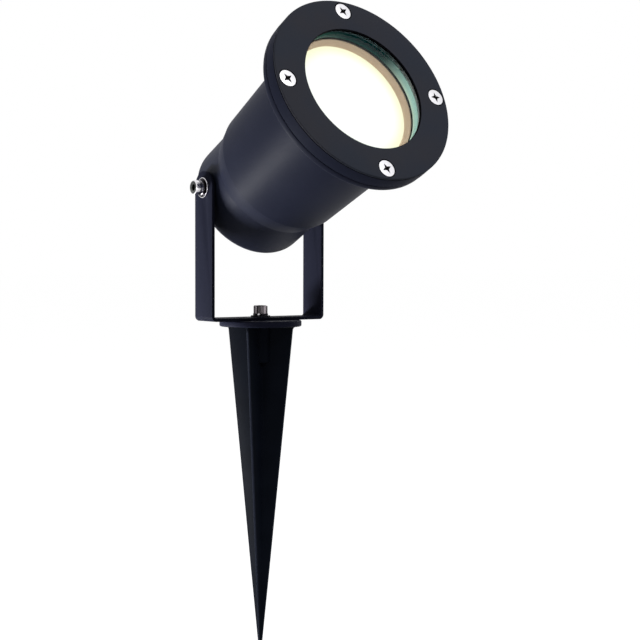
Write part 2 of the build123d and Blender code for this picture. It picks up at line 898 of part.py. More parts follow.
def gland_washer():
    inner = gland_thread_radius + thread_gap
    return collar(gland_flats / 2, inner, rear_at - gland_washer_thickness, rear_at)


def gland_body():
    sleeve_end = gland_hex_back - gland_sleeve_length
    thread_end = rear_at + gland_thread_reach
    body = hexagon(gland_flats, gland_hex_back, rear_at - gland_washer_thickness)
    body += disc(gland_thread_radius, gland_hex_back, thread_end)
    body += disc(gland_sleeve_radius, sleeve_end, gland_hex_back)
    body -= disc(gland_bore, sleeve_end - over, thread_end + over)
    return body - disc(gland_sleeve_bore, sleeve_end - over, gland_hex_back)


def gland_seal():
    """The rubber sleeve that grips the cable: a plug in the gland's sleeve with a wider collar behind it."""
    sleeve_end = gland_hex_back - gland_sleeve_length
    back = gland_hex_back - gland_cap_gap - gland_cap_length + gland_cap_wall
    plug = disc(gland_sleeve_bore - gland_seal_gap, sleeve_end, gland_hex_back)
    rim = disc(gland_sleeve_radius - gland_rim_gap, back, sleeve_end)
    return plug + rim - disc(cable_radius, back - over, gland_hex_back + over)


def gland_cap():
    front = gland_hex_back - gland_cap_gap
    back = front - gland_cap_length
    edge = gland_cap_edge
    body = turned(
        Line((0, front), (gland_cap_radius, front)),
        Line((gland_cap_radius, front), (gland_cap_radius, back + edge)),
        RadiusArc((gland_cap_radius, back + edge), (gland_cap_radius - edge, back), edge),
        Line((gland_cap_radius - edge, back), (0, back)),
        Line((0, back), (0, front)),
    )
    body -= disc(gland_sleeve_radius + thread_gap, back + gland_cap_wall, front + over)
    body -= disc(gland_cap_hole, back - over, front)
    groove = disc(grip_groove_radius, back + edge + grip_groove_inset, front - grip_groove_inset)
    for place in PolarLocations(gland_cap_radius + grip_groove_set, grip_groove_count):
        body -= place * groove
    return body


def gland_locknut():
    floor = rear_at + wall
    nut = hexagon(locknut_flats, floor, floor + locknut_thickness)
    return nut - disc(gland_thread_radius + thread_gap, floor - over, floor + locknut_thickness + over)


# ---- Tilt pivots, one on each side ----

def on_both_sides(shape):
    """The shape is drawn with height as the distance outwards from the bracket's arm."""
    return [Rot(0, side * 90, 0) * Pos(0, 0, arm_outer) * shape for side in (-1, 1)]


def pivot_bolts():
    return on_both_sides(Pos(0, 0, washer_stack) * cap_screw(pivot_bolt_length))


def pivot_spring_washers():
    return on_both_sides(Pos(0, 0, flat_washer_thickness) * spring_washer(0))


def pivot_flat_washers():
    return on_both_sides(flat_washer())


def pivot_friction_washers():
    washer = collar(friction_washer_radius, m4_radius + pin_gap, -friction_washer_thickness, 0)
    return on_both_sides(Pos(0, 0, -strip_thickness) * washer)


# ---- Writing the parts ----

upright_parts = [
    ground_spike,
    spike_insert,
    base_bolt,
    base_spring_washer,
    base_flat_washer,
    bracket,
]
head_parts = [
    housing,
    front_ring,
    face_screws,
    front_gasket,
    glass_pane,
    glass_seal,
    lamp_body,
    lamp_lens,
    led_board,
    led_chips,
    lamp_driver,
    lamp_cap,
    lamp_cap_insulator,
    lamp_contact,
    holder_body,
    holder_shell,
    holder_contact,
    holder_terminals,
    holder_plate,
    plate_screws,
    holder_screws,
    terminal_block,
    block_screws,
    block_tubes,
    live_lead,
    neutral_lead,
    earth_lead,
    earth_tag,
    earth_screw,
    gland_washer,
    gland_body,
    gland_seal,
    gland_cap,
    gland_locknut,
    pivot_bolts,
    pivot_spring_washers,
    pivot_flat_washers,
    pivot_friction_washers,
]


def write(part, place):
    shape = part()
    solids = shape if isinstance(shape, list) else [shape]
    placed = [place * solid for solid in solids]
    name = part.__name__
    export_step(placed[0] if len(placed) == 1 else Compound(placed), f"parts/{name}.step")


head_place = Pos(0, 0, pivot_height) * Rot(90 - beam_tilt, 0, 0)
os.makedirs("parts", exist_ok=True)
for part in upright_parts:
    write(part, Pos(0, 0, 0))
for part in head_parts:
    write(part, head_place)
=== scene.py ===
import json
from math import atan2, cos, pi, radians, sin, tan, tau

import bmesh
import bpy
from mathutils import Matrix, Vector


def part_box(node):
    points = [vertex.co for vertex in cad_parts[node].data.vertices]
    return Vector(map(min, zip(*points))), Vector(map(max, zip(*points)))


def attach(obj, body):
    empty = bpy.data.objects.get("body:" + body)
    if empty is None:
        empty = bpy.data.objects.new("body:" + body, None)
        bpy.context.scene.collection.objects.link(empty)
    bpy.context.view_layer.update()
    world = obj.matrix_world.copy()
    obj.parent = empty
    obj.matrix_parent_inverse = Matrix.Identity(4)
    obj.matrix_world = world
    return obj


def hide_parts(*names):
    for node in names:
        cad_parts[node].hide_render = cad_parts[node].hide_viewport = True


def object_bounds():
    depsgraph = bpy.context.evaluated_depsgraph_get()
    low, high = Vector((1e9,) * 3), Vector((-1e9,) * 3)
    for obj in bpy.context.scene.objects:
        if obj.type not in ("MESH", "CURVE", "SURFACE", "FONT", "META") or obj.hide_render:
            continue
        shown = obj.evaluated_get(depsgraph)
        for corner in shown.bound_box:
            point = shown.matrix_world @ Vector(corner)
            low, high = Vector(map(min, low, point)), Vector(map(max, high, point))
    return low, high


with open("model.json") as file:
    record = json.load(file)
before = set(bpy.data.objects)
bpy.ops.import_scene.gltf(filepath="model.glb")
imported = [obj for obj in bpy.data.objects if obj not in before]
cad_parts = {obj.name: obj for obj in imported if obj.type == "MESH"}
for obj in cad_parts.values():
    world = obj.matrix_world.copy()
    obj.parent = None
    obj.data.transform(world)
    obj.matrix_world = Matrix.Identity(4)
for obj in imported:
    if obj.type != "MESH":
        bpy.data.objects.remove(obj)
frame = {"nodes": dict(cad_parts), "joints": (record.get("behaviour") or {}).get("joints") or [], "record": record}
cadBox = [list(corner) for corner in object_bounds()]
record = frame["record"]

# Every piece is modelled in millimetres: spike, bracket and bolts in the shared frame, and the
# head's other pieces along the beam, with the tilt hinge at 0 and +Z towards the lit face.
# A colour of three numbers is as a picture shows it, 0 to 255, one of four the renderer's own.
millimetre = Matrix.Scale(0.001, 4)
tiltHinge = next(joint for joint in frame["joints"] if joint["name"] == "head_tilt")
glandMount = next(mount for mount in record["mounts"] if mount["name"] == "cable_gland")
beam = -Vector(glandMount["axis"])
beamTilt = atan2(beam.z, -beam.y)
hingePlace = Matrix.Translation(tiltHinge["pos_m"])
headPlace = hingePlace @ Matrix.Rotation(pi / 2 - beamTilt, 4, "X") @ millimetre
hingeHeight = tiltHinge["pos_m"][2] * 1000
faceTurn = -2.0  # the face screws' turn about the beam, in degrees
roundSteps = 160  # segments in a full turn of the large round pieces
smallSteps = 64  # and of the fasteners
spare = 1.0  # how far a cutter reaches beyond what it cuts


def span(node, place):  # a node's lowest and highest point and its widest radius, in millimetres
    back = place.inverted()
    spots = [back @ vert.co for vert in frame["nodes"][node].data.vertices]
    heights = [spot.z for spot in spots]
    return min(heights), max(heights), max(spot.xy.length for spot in spots)


def srgb(colour):  # a picture's colour as the renderer's
    parts = [level / 255 for level in colour]
    return [part / 12.92 if part < 0.04045 else ((part + 0.055) / 1.055) ** 2.4 for part in parts] + [1]


class Wire:  # a socket that takes part in sums
    def __init__(self, nodes, socket):
        self.nodes = nodes
        self.socket = socket

    def __add__(self, other):
        return self.nodes.maths("ADD", self, other)

    def __radd__(self, other):
        return self.nodes.maths("ADD", other, self)

    def __sub__(self, other):
        return self.nodes.maths("SUBTRACT", self, other)

    def __rsub__(self, other):
        return self.nodes.maths("SUBTRACT", other, self)

    def __mul__(self, other):
        return self.nodes.maths("MULTIPLY", self, other)

    def __rmul__(self, other):
        return self.nodes.maths("MULTIPLY", other, self)

    def __truediv__(self, other):
        return self.nodes.maths("DIVIDE", self, other)


def setSocket(tree, socket, value):  # to a wire, a colour or a number
    if isinstance(value, Wire):
        tree.links.new(value.socket, socket)
    elif socket.type == "RGBA" and len(value) == 3:
        socket.default_value = srgb(value)
    else:
        socket.default_value = value


class Nodes:  # the nodes of one material or world
    def __init__(self, tree):
        self.tree = tree

    def node(self, kind, output, settings=None, inputs=None):
        made = self.tree.nodes.new("ShaderNode" + kind)
        for key, value in (settings or {}).items():
            if key == "stops":
                for index, (position, colour) in enumerate(value):
                    ramp = made.color_ramp.elements
                    stop = ramp[index] if index < 2 else ramp.new(position)
                    stop.position = position
                    stop.color = srgb(colour)
            else:
                setattr(made, key, value)
        for key, value in (inputs or {}).items():
            setSocket(self.tree, made.inputs[key], value)
        return Wire(self, made.outputs[output])

    def maths(self, operation, first, second=0.0):
        return self.node("Math", 0, {"operation": operation}, {0: first, 1: second})


class Paint(Nodes):  # one material
    def __init__(self, name, place=millimetre, **constants):
        self.material = bpy.data.materials.new(name)
        self.material.use_nodes = True
        super().__init__(self.material.node_tree)
        self.shader = self.tree.nodes["Principled BSDF"]
        for key, value in constants.items():
            self.feed(key.replace("_", " "), value)
        back = place.inverted()
        self.spot = self.node(
            "Mapping",
            "Vector",
            {"vector_type": "POINT"},
            {
                "Vector": self.node("TexCoord", "Object"),
                "Location": back.to_translation(),
                "Rotation": back.to_euler(),
                "Scale": back.to_scale(),
            },
        )

    def feed(self, name, value):
        setSocket(self.tree, self.shader.inputs[name], value)

    def distance(self, first, second):  # from the middle, by two parts of a spot
        return self.maths("SQRT", first * first + second * second)

    def stretched(self, x, y, z):
        return self.node("VectorMath", 0, {"operation": "MULTIPLY"}, {0: self.spot, 1: (x, y, z)})

    def noise(self, size, detail=2.0, roughness=0.5, where=None):  # size of a speck in millimetres
        inputs = {"Vector": where or self.spot, "Scale": 1 / size, "Detail": detail, "Roughness": roughness}
        return self.node("TexNoise", 0, {"normalize": True}, inputs)

    def cells(self, size):
        inputs = {"Vector": self.spot, "Scale": 1 / size}
        return self.node("TexVoronoi", 0, {"feature": "F1"}, inputs)

    def parts(self, where=None):
        splitter = self.node("SeparateXYZ", 0, {}, {"Vector": where or self.spot}).socket.node
        return [Wire(self, output) for output in splitter.outputs]

    def step(self, value, low, high):  # 0 below low, 1 above high, smooth between
        inputs = {"Value": value, "From Min": low, "From Max": high}
        return self.node("MapRange", 0, {"interpolation_type": "SMOOTHSTEP"}, inputs)

    def fade(self, value, base, spread):  # a step between two offsets from the base
        return self.step(value, base + spread[0], base + spread[1])

    def mix(self, factor, first, second):
        return self.node("Mix", 2, {"data_type": "RGBA"}, {0: factor, 6: first, 7: second})

    def coat(self, colour, roughness, grain, depth, strength=1.0):  # depth of the grain in millimetres
        self.feed("Base Color", colour)
        self.feed("Roughness", roughness)
        bump = {"Height": grain, "Distance": depth * 0.001, "Strength": strength}
        self.feed("Normal", self.node("Bump", 0, {}, bump))
        return self.material

    def colour(self):  # the colour so far
        return Wire(self, self.shader.inputs["Base Color"].links[0].from_socket)


def powderCoat(name, place, texture):  # textured paint baked on metal
    paint = Paint(name, place, Metallic=0.0, Specular_IOR_Level=texture["shine"])
    broad = paint.noise(texture["patch"], 3)
    fine = paint.noise(texture["grain"], 2, 0.6)
    pits = paint.cells(texture["pit"])
    patches = paint.step(broad, 0.3, 0.7) * texture["uneven"]
    shade = paint.mix(patches, texture["colour"], texture["second"])
    flecks = paint.step(fine, 0.62, 0.8) * texture["flecks"]
    toned = paint.mix(flecks, shade, texture["fleckColour"])
    roughness = texture["roughness"] + (fine - 0.5) * 0.18 + (broad - 0.5) * 0.1
    paint.coat(toned, roughness, fine * 0.6 + pits * 0.4, texture["depth"])
    return paint


housingCoat = {
    "colour": (33, 36, 51),
    "second": (38, 41, 56),
    "fleckColour": (58, 62, 76),
    "uneven": 0.6,
    "flecks": 0.25,
    "patch": 26.0,
    "grain": 0.55,
    "pit": 0.8,
    "depth": 0.05,
    "roughness": 0.48,
    "shine": 0.028,
}
ringCoat = {
    **housingCoat,
    "colour": (56, 60, 70),
    "second": (63, 62, 67),
    # the side's painted shade, a darker tone than the face
    "sideShadeColour": (33, 36, 50),
    "fleckColour": (82, 84, 88),
    "roughness": 0.55,
    "shine": 0.01,
}
bracketCoat = {
    **housingCoat,
    "colour": (33, 35, 48),
    "second": (37, 38, 52),
    "fleckColour": (54, 56, 70),
    "shine": 0.008,
    "grain": 0.4,
    "depth": 0.025,
    "flecks": 0.15,
    "roughness": 0.5,
}


def paintShade(paint, mask):  # painted shade: black where the mask is 1, over the colour that is there
    paint.feed("Base Color", paint.mix(mask, paint.colour(), (8, 9, 13)))


def ringPaint(size):  # grey face, a painted shade of blue-black on the side, and painted black shade in the opening, the groove and round the screws
    face = ringFront - size["faceDepth"]
    paint = powderCoat("ringCoat", headPlace, ringCoat)
    across, upward, along = paint.parts()
    spin = {"Vector": paint.spot, "Angle": radians(-faceTurn)}
    x, y = paint.parts(paint.node("VectorRotate", 0, {"rotation_type": "Z_AXIS"}, spin))[:2]
    gaps = []
    for first, second in ((x, y), (y, x)):
        out = paint.maths("ABSOLUTE", first) - size["screwCircle"]
        gaps.append(paint.distance(out, second))
    # painted shade: black in a ring round each countersink
    rim = 1 - paint.fade(paint.maths("MINIMUM", *gaps), size["countersink"], size["screwShadeFade"])
    # painted shade: black in the groove below the face
    groove = paint.fade(along, face - size["groove"], size["grooveShadeFade"])
    groove = groove * (1 - paint.fade(along, face, size["faceFade"]))
    # painted shade: black on the opening's inner wall
    bore = 1 - paint.fade(paint.distance(across, upward), size["opening"], size["openingShadeFade"])
    # painted shade: the side in a darker blue-black than the face
    side = 1 - paint.fade(along, face, size["sideShadeFade"])
    paint.feed("Base Color", paint.mix(side, paint.colour(), ringCoat["sideShadeColour"]))
    paintShade(paint, paint.maths("MAXIMUM", paint.maths("MAXIMUM", rim, groove), bore))
    return paint.material


def metal(name, colour, dullColour, roughness, scratch, dull, place=headPlace):
    paint = Paint(name, place, Metallic=1.0)
    across = paint.noise(0.12, 2, 0.5, paint.stretched(1, 1, 9))
    smears = paint.noise(2.4, 3)
    tarnish = paint.step(smears, 0.35, 0.75) * dull
    toned = paint.mix(tarnish, colour, dullColour)
    worn = roughness + (across - 0.5) * scratch * 0.4 + paint.step(smears, 0.5, 0.8) * dull * 0.2
    return paint.coat(toned, worn, across, 0.004, scratch)


def plastic(name, colour, second, roughness, grain, depth, place=headPlace):
    paint = Paint(name, place)
    broad = paint.noise(14.0, 3)
    fine = paint.noise(grain, 2)
    toned = paint.mix(paint.step(broad, 0.3, 0.7), colour, second)
    return paint.coat(toned, roughness + (fine - 0.5) * 0.12 + (broad - 0.5) * 0.1, fine, depth)


# Modelling helpers, which take and give a bmesh in millimetres

def lathe(outline, steps=roundSteps, closed=False):  # outline of (radius, height) turned about Z
    bm = bmesh.new()
    verts = [bm.verts.new((radius, 0, height)) for radius, height in outline]
    following = verts[1:] + verts[:1] if closed else verts[1:]
    edges = [bm.edges.new(pair) for pair in zip(verts, following)]
    turn = {"cent": (0, 0, 0), "axis": (0, 0, 1), "angle": tau, "steps": steps, "use_merge": True}
    bmesh.ops.spin(bm, geom=verts + edges, **turn)
    return tidied(bm)


def tidied(bm):
    bmesh.ops.remove_doubles(bm, verts=bm.verts, dist=0.0005)
    bmesh.ops.recalc_face_normals(bm, faces=bm.faces)
    return bm


def arc(centre, radius, start, end, steps):  # degrees, from the outline's +radius direction
    run, rise = radius if isinstance(radius, tuple) else (radius, radius)
    turns = [radians(start + (end - start) * index / steps) for index in range(steps + 1)]
    return [(centre[0] + run * cos(turn), centre[1] + rise * sin(turn)) for turn in turns]


def disc(radius, low, high, edge=0.0, steps=smallSteps):  # a round slug with its rims rounded
    if edge == 0:
        return lathe([(0, low), (radius, low), (radius, high), (0, high)], steps)
    lower = arc((radius - edge, low + edge), edge, -90, 0, 4)
    upper = arc((radius - edge, high - edge), edge, 0, 90, 4)
    return lathe([(0, low)] + lower + upper + [(0, high)], steps)


def washer(outer, inner, low, high, edge, steps=smallSteps):
    corners = [((outer, low), -90), ((outer, high), 0), ((inner, high), 90), ((inner, low), 180)]
    outline = []
    for (radius, height), start in corners:
        inward = -edge if radius == outer else edge
        upward = edge if height == low else -edge
        outline += arc((radius + inward, height + upward), edge, start, start + 90, 3)
    return lathe(outline, steps, closed=True)


def prism(sides, flats, low, high):  # flats across, standing on the Z axis
    bm = bmesh.new()
    radius = flats / 2 / cos(pi / sides)
    size = {"radius1": radius, "radius2": radius, "depth": high - low}
    middle = shift(0, 0, (low + high) / 2)
    bmesh.ops.create_cone(bm, cap_ends=True, segments=sides, matrix=middle, **size)
    return bm


def shift(x, y, z):
    return Matrix.Translation((x, y, z))


def turned(degrees, axis="Z"):
    return Matrix.Rotation(radians(degrees), 4, axis)


def moved(bm, place):
    bmesh.ops.transform(bm, matrix=place, verts=bm.verts)
    return bm


def meshed(name, bm):  # a mesh from a bmesh, which it uses up
    mesh = bpy.data.meshes.new(name)
    bm.to_mesh(mesh)
    bm.free()
    return mesh


def inScene(name, data):
    thing = bpy.data.objects.new(name, data)
    bpy.context.scene.collection.objects.link(thing)
    return thing


def joined(parts):
    whole = bmesh.new()
    for part in parts:
        mesh = meshed("part", part)
        whole.from_mesh(mesh)
        bpy.data.meshes.remove(mesh)
    return whole


def settled(helper, *others):  # a helper's mesh with its modifiers applied, and the helpers gone
    graph = bpy.context.evaluated_depsgraph_get()
    bm = bmesh.new()
    bm.from_object(helper, graph)
    for done in (helper, *others):
        mesh = done.data
        bpy.data.objects.remove(done)
        bpy.data.meshes.remove(mesh)
    return bm


def carve(bm, cutter, operation="DIFFERENCE"):
    base = inScene("standIn", meshed("standIn", bm))
    tool = inScene("cutter", meshed("cutter", cutter))
    modifier = base.modifiers.new("carve", "BOOLEAN")
    modifier.operation = operation
    modifier.solver = "EXACT"
    modifier.object = tool
    return settled(base, tool)


def thicken(bm, thickness):
    sheet = inScene("standIn", meshed("standIn", bm))
    modifier = sheet.modifiers.new("thicken", "SOLIDIFY")
    modifier.thickness = thickness
    modifier.offset = 0
    modifier.use_even_offset = True
    return settled(sheet)


def roundEdges(bm, width, segments, sharper):
    steep = radians(sharper)
    sharp = [edge for edge in bm.edges if len(edge.link_faces) == 2 and edge.calc_face_angle() > steep]
    shape = {"offset": width, "offset_type": "OFFSET", "segments": segments, "profile": 0.5}
    bmesh.ops.bevel(bm, geom=sharp, affect="EDGES", material=-1, clamp_overlap=True, **shape)
    return bm


def allOf(bm):
    return bm.verts[:] + bm.edges[:] + bm.faces[:]


def only(items, kind):
    return [item for item in items if isinstance(item, kind)]


def screwPlaces(circle, height=0):  # where the four face screws stand
    return [turned(90 * index + faceTurn) @ shift(circle, 0, height) for index in range(4)]


def makePiece(name, bm, slot, material, replaced, sharper=38, place=headPlace, body="head"):
    mesh = meshed(name, moved(bm, place))
    mesh.shade_smooth()
    mesh.set_sharp_from_angle(angle=radians(sharper))
    mesh.materials.append(material)
    piece = inScene(name, mesh)
    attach(piece, body)
    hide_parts(*replaced)


def direction(azimuth, elevation):  # unit vector towards a place at these angles
    around, above = radians(azimuth), radians(elevation)
    return Vector((sin(around) * cos(above), -cos(around) * cos(above), sin(above)))


# Camera, as the picture was taken

cameraView = {
    "place": (-375.6, -575.5, 33.5),
    "azimuth": -35.61,
    "elevation": 2.53,
    "roll": 0.18,
    "lens": 77.35,
    "sensor": 36.0,
}


def makeCamera(view):
    around, roll = radians(view["azimuth"]), radians(view["roll"])
    back = direction(view["azimuth"], view["elevation"])
    right = Vector((cos(around), sin(around), 0))
    up = back.cross(right)
    axes = (right * cos(roll) + up * sin(roll), up * cos(roll) - right * sin(roll), back)
    lens = bpy.data.cameras.new("camera")
    lens.lens = view["lens"]
    lens.sensor_width = view["sensor"]
    lens.clip_start = 0.01
    camera = inScene("camera", lens)
    spot = Vector(view["place"]) * 0.001
    camera.matrix_world = Matrix.Translation(spot) @ Matrix(axes).transposed().to_4x4()
    bpy.context.scene.camera = camera


makeCamera(cameraView)
print("camera set")

# Light and floor

studio = {
    "fill": 0.13,  # the white surroundings' strength as light
    "floorLift": 0.965,  # the floor's own white, as the camera sees it
    "floorTone": (0.25, 0.25, 0.25, 1),
    "floorSize": 30.0,
    "floorGap": 0.0002,
    "aimHeight": 0.04,
    "lamps": {  # azimuth, elevation, distance, width and height in metres, watts
        "keyLamp": (-62, -12, 0.9, (0.3, 0.14), 0.8),
        "lowLamp": (-131, -28, 0.37, (0.16, 0.04), 2.4),
        "frontLamp": (8, 44, 1.2, (0.5, 0.5), 6.8),
        "backLamp": (115, 20, 1.3, (0.5, 0.5), 5.0),
    },
}


def seenLevel(nodes, low, high):  # high where the camera, a gloss or a glass sees it, low as light
    level = nodes.node("LightPath", "Is Camera Ray")
    for ray in ("Is Glossy Ray", "Is Transmission Ray"):
        level = nodes.maths("MAXIMUM", level, nodes.node("LightPath", ray))
    return nodes.node("MapRange", 0, {}, {"Value": level, "To Min": low, "To Max": high})


def makeWorld():
    world = bpy.data.worlds.new("studio")
    world.use_nodes = True
    world.node_tree.nodes.clear()
    nodes = Nodes(world.node_tree)
    inputs = {"Color": (1, 1, 1, 1), "Strength": seenLevel(nodes, studio["fill"], 1.0)}
    background = nodes.node("Background", 0, {}, inputs)
    output = world.node_tree.nodes.new("ShaderNodeOutputWorld")
    setSocket(world.node_tree, output.inputs["Surface"], background)
    bpy.context.scene.world = world


def makeFloor():
    bm = bmesh.new()
    bmesh.ops.create_grid(bm, x_segments=1, y_segments=1, size=studio["floorSize"] / 2)
    bmesh.ops.translate(bm, verts=bm.verts, vec=(0, 0, cadBox[0][2] - studio["floorGap"]))
    floor = inScene("floor", meshed("floor", bm))
    paint = Paint("floorPaper", Roughness=0.95, Specular_IOR_Level=0.0, Emission_Color=(1, 1, 1, 1))
    paint.feed("Base Color", studio["floorTone"])
    paint.feed("Emission Strength", seenLevel(paint, 0, studio["floorLift"]))
    floor.data.materials.append(paint.material)


def makeLamp(name, azimuth, elevation, distance, size, watts):
    back = direction(azimuth, elevation)
    light = bpy.data.lights.new(name, "AREA")
    light.shape = "RECTANGLE"
    light.size, light.size_y = size
    light.energy = watts
    lamp = inScene(name, light)
    lamp.location = back * distance + Vector((0, 0, studio["aimHeight"]))
    lamp.rotation_mode = "QUATERNION"
    lamp.rotation_quaternion = (-back).to_track_quat("-Z", "Y")


makeWorld()
makeFloor()
for lampName, lampValues in studio["lamps"].items():
    makeLamp(lampName, *lampValues)
bpy.context.scene.view_settings.view_transform = "Standard"
print("floor and lamps set")

# Housing

housingBack, flangeFront, flangeRadius = span("housing", headPlace)
housingSize = {
    "wall": 3.0,
    "glandHole": 6.05,
    "domeFlat": 9.6,
    "domeDepth": 9.4,
    "tailRadius": 30.8,
    "shoulderLow": 13.2,
    "shoulderMiddle": (32.25, 18.3),
    "shoulderTop": (33.3, 23.4),
    "step": 0.2,
    "barrelFront": 36.2,
    "flangeThickness": 3.2,
    "flangeEdge": 0.9,
    "flangeFillet": 2.0,
    "frontEdge": 0.2,
    "landRadius": 7.0,
    "landSink": 1.5,
    "landRise": 0.2,
    "landEdge": 0.08,
    "screwCircle": 41.0,
    "screwHole": 2.05,
    "boreShadeFade": (0.1, 0.3),
    "boreShadeFrom": (-30, -20),
}


def bowed(start, middle, end, steps):  # a gentle curve through three outline points
    pull = [2 * there - (before + after) / 2 for before, there, after in zip(start, middle, end)]
    points = []
    for index in range(steps + 1):
        part = index / steps
        weights = ((1 - part) ** 2, 2 * part * (1 - part), part ** 2)
        columns = [zip(weights, column) for column in zip(start, pull, end)]
        points.append(tuple(sum(weight * value for weight, value in column) for column in columns))
    return points


def makeHousing(size):
    tail = size["tailRadius"]
    flat = size["domeFlat"]
    domeTop = housingBack + size["domeDepth"]
    flangeBack = flangeFront - size["flangeThickness"]
    shoulder = (size["shoulderTop"][0] + size["step"], size["shoulderTop"][1])
    slope = (size["barrelFront"] - shoulder[0]) / (flangeBack - shoulder[1])
    filletLow = flangeBack - size["flangeFillet"]
    filletRadius = shoulder[0] + slope * (filletLow - shoulder[1])
    filletCentre = (filletRadius + size["flangeFillet"], filletLow)
    edge = size["flangeEdge"]
    front = size["frontEdge"]
    wall = size["wall"]
    bore = size["barrelFront"] - wall
    outline = [(size["glandHole"], housingBack)]
    outline += arc((flat, domeTop), (tail - flat, size["domeDepth"]), -90, 0, 24)
    outline += bowed((tail, size["shoulderLow"]), size["shoulderMiddle"], size["shoulderTop"], 12)
    outline += [shoulder]
    outline += arc(filletCentre, size["flangeFillet"], 180, 90, 8)
    outline += arc((flangeRadius - edge, flangeBack + edge), edge, -90, 0, 5)
    outline += arc((flangeRadius - front, flangeFront - front), front, 0, 90, 2)
    outline += [(bore, flangeFront), (bore, flangeBack)]
    outline += [(shoulder[0] - wall, shoulder[1]), (tail - wall, size["shoulderLow"])]
    outline += arc((flat, domeTop), (tail - wall - flat, size["domeDepth"] - wall), 0, -90, 16)
    outline += [(size["glandHole"], housingBack + wall)]
    shell = lathe(outline, closed=True)
    for side in (-1, 1):
        land = disc(size["landRadius"], tail - size["landSink"], tail + size["landRise"], size["landEdge"])
        shell = carve(shell, moved(land, turned(90 * side, "Y")), "UNION")
    for place in screwPlaces(size["screwCircle"]):
        hole = disc(size["screwHole"], flangeBack - spare, flangeFront + spare, 0, 32)
        shell = carve(shell, moved(hole, place))
    paint = powderCoat("housingCoat", headPlace, housingCoat)
    across, upward, along = paint.parts()
    # painted shade: black on the housing's inner wall, from about 20 mm behind the flange forwards
    black = 1 - paint.fade(paint.distance(across, upward), bore, size["boreShadeFade"])
    paintShade(paint, black * paint.fade(along, flangeBack, size["boreShadeFrom"]))
    makePiece("housingShell", shell, "housing_coat", paint.material, ["housing"], 30)


makeHousing(housingSize)
print("housing made")

# Front ring

ringBack, ringFront, ringRadius = span("front_ring", headPlace)
ringSize = {
    "inset": 0.12,
    "faceDepth": 0.95,
    "edge": 0.5,
    "opening": 30.8,
    "openingEdge": 0.35,
    "lip": 1.5,
    "seat": 35.4,
    "groove": 0.35,
    "grooveDepth": 0.35,
    "backEdge": 0.35,
    "screwCircle": 41.0,
    "countersink": 4.1,
    "countersinkDepth": 2.4,
    "screwHole": 2.1,
    "rim": 0.12,
    # fades of the painted shade round the screws, in the groove, in the opening and on the side
    "screwShadeFade": (0.3, 0.55),  # a fade begins and ends this far beyond its edge
    "grooveShadeFade": (-0.05, 0),
    "faceFade": (0, 0.12),
    "openingShadeFade": (0.1, 0.3),
    "sideShadeFade": (0, 0.1),
}


def makeRing(size):
    edge = size["edge"]
    inner = size["openingEdge"]
    back = size["backEdge"]
    grooveTop = ringFront - size["faceDepth"]
    grooveLow = grooveTop - size["groove"]
    lipBack = ringFront - size["lip"]
    outer = ringRadius - size["inset"]
    outline = [(size["opening"], lipBack)]
    outline += arc((size["opening"] + inner, ringFront - inner), inner, 180, 90, 4)
    outline += arc((outer - edge, ringFront - edge), edge, 90, 0, 5)
    outline += [(outer, grooveTop), (outer - size["grooveDepth"], grooveTop)]
    outline += [(outer - size["grooveDepth"], grooveLow), (outer, grooveLow)]
    outline += arc((outer - back, ringBack + back), back, 0, -90, 4)
    outline += [(size["seat"], ringBack), (size["seat"], lipBack)]
    ring = lathe(outline, 2 * roundSteps, closed=True)
    wide = size["countersink"] + size["rim"]
    sink = [
        (0, ringBack - spare),
        (size["screwHole"], ringBack - spare),
        (size["screwHole"], ringFront - size["countersinkDepth"]),
        (size["countersink"], ringFront - size["rim"]),
        (wide, ringFront),
        (wide, ringFront + spare),
        (0, ringFront + spare),
    ]
    for place in screwPlaces(size["screwCircle"]):
        ring = carve(ring, moved(lathe(sink, 48), place))
    makePiece("frontRing", ring, "ring_coat", ringPaint(size), ["front_ring"], 30)


makeRing(ringSize)
print("front ring made")

# Face screws

screwSize = {
    "head": 4.0,
    "headDepth": 2.3,
    "rim": 0.12,
    "crown": 0.12,
    "crownMiddle": (0.55, 0.8),  # shares of the head's radius and of the crown
    "shank": 2.0,
    "threadDepth": 0.22,
    "threadPitch": 0.7,
    "length": 10.0,
    "crossSpan": 5.6,
    "crossWidth": 2.1,
    "crossDepth": 1.7,
    "crossTaper": 0.4,
    "socket": 1.1,
    "socketPoint": 0.25,
    "turns": (4, 33, 34, 24),
    "colour": (222, 221, 225),
    # painted shade in the recesses, and where it begins below the face
    "sunkShadeColour": (64, 61, 64),
    "sunkShade": (-0.24, -0.16),
}


def threaded(outer, depth, pitch, low, high):  # outline of a shank with its thread as ridges
    outline = []
    for index in range(int((high - low) / pitch)):
        height = low + index * pitch
        outline += [(outer - depth, height), (outer, height + pitch / 2)]
    return [(0, low)] + outline + [(outer - depth, high)]


def taperedCross(size):  # two four-sided wedges, widest in the middle
    wings = []
    depth = size["crossDepth"]
    spread = Matrix.Diagonal((size["crossSpan"] / 2, size["crossWidth"] / 2, 1, 1))
    for turn in (0, 90):
        wing = bmesh.new()
        place = turned(turn) @ shift(0, 0, -depth / 2) @ spread
        wedge = {"radius1": size["crossTaper"], "radius2": 1, "depth": depth}
        bmesh.ops.create_cone(wing, cap_ends=True, segments=4, matrix=place, **wedge)
        wings.append(wing)
    return wings


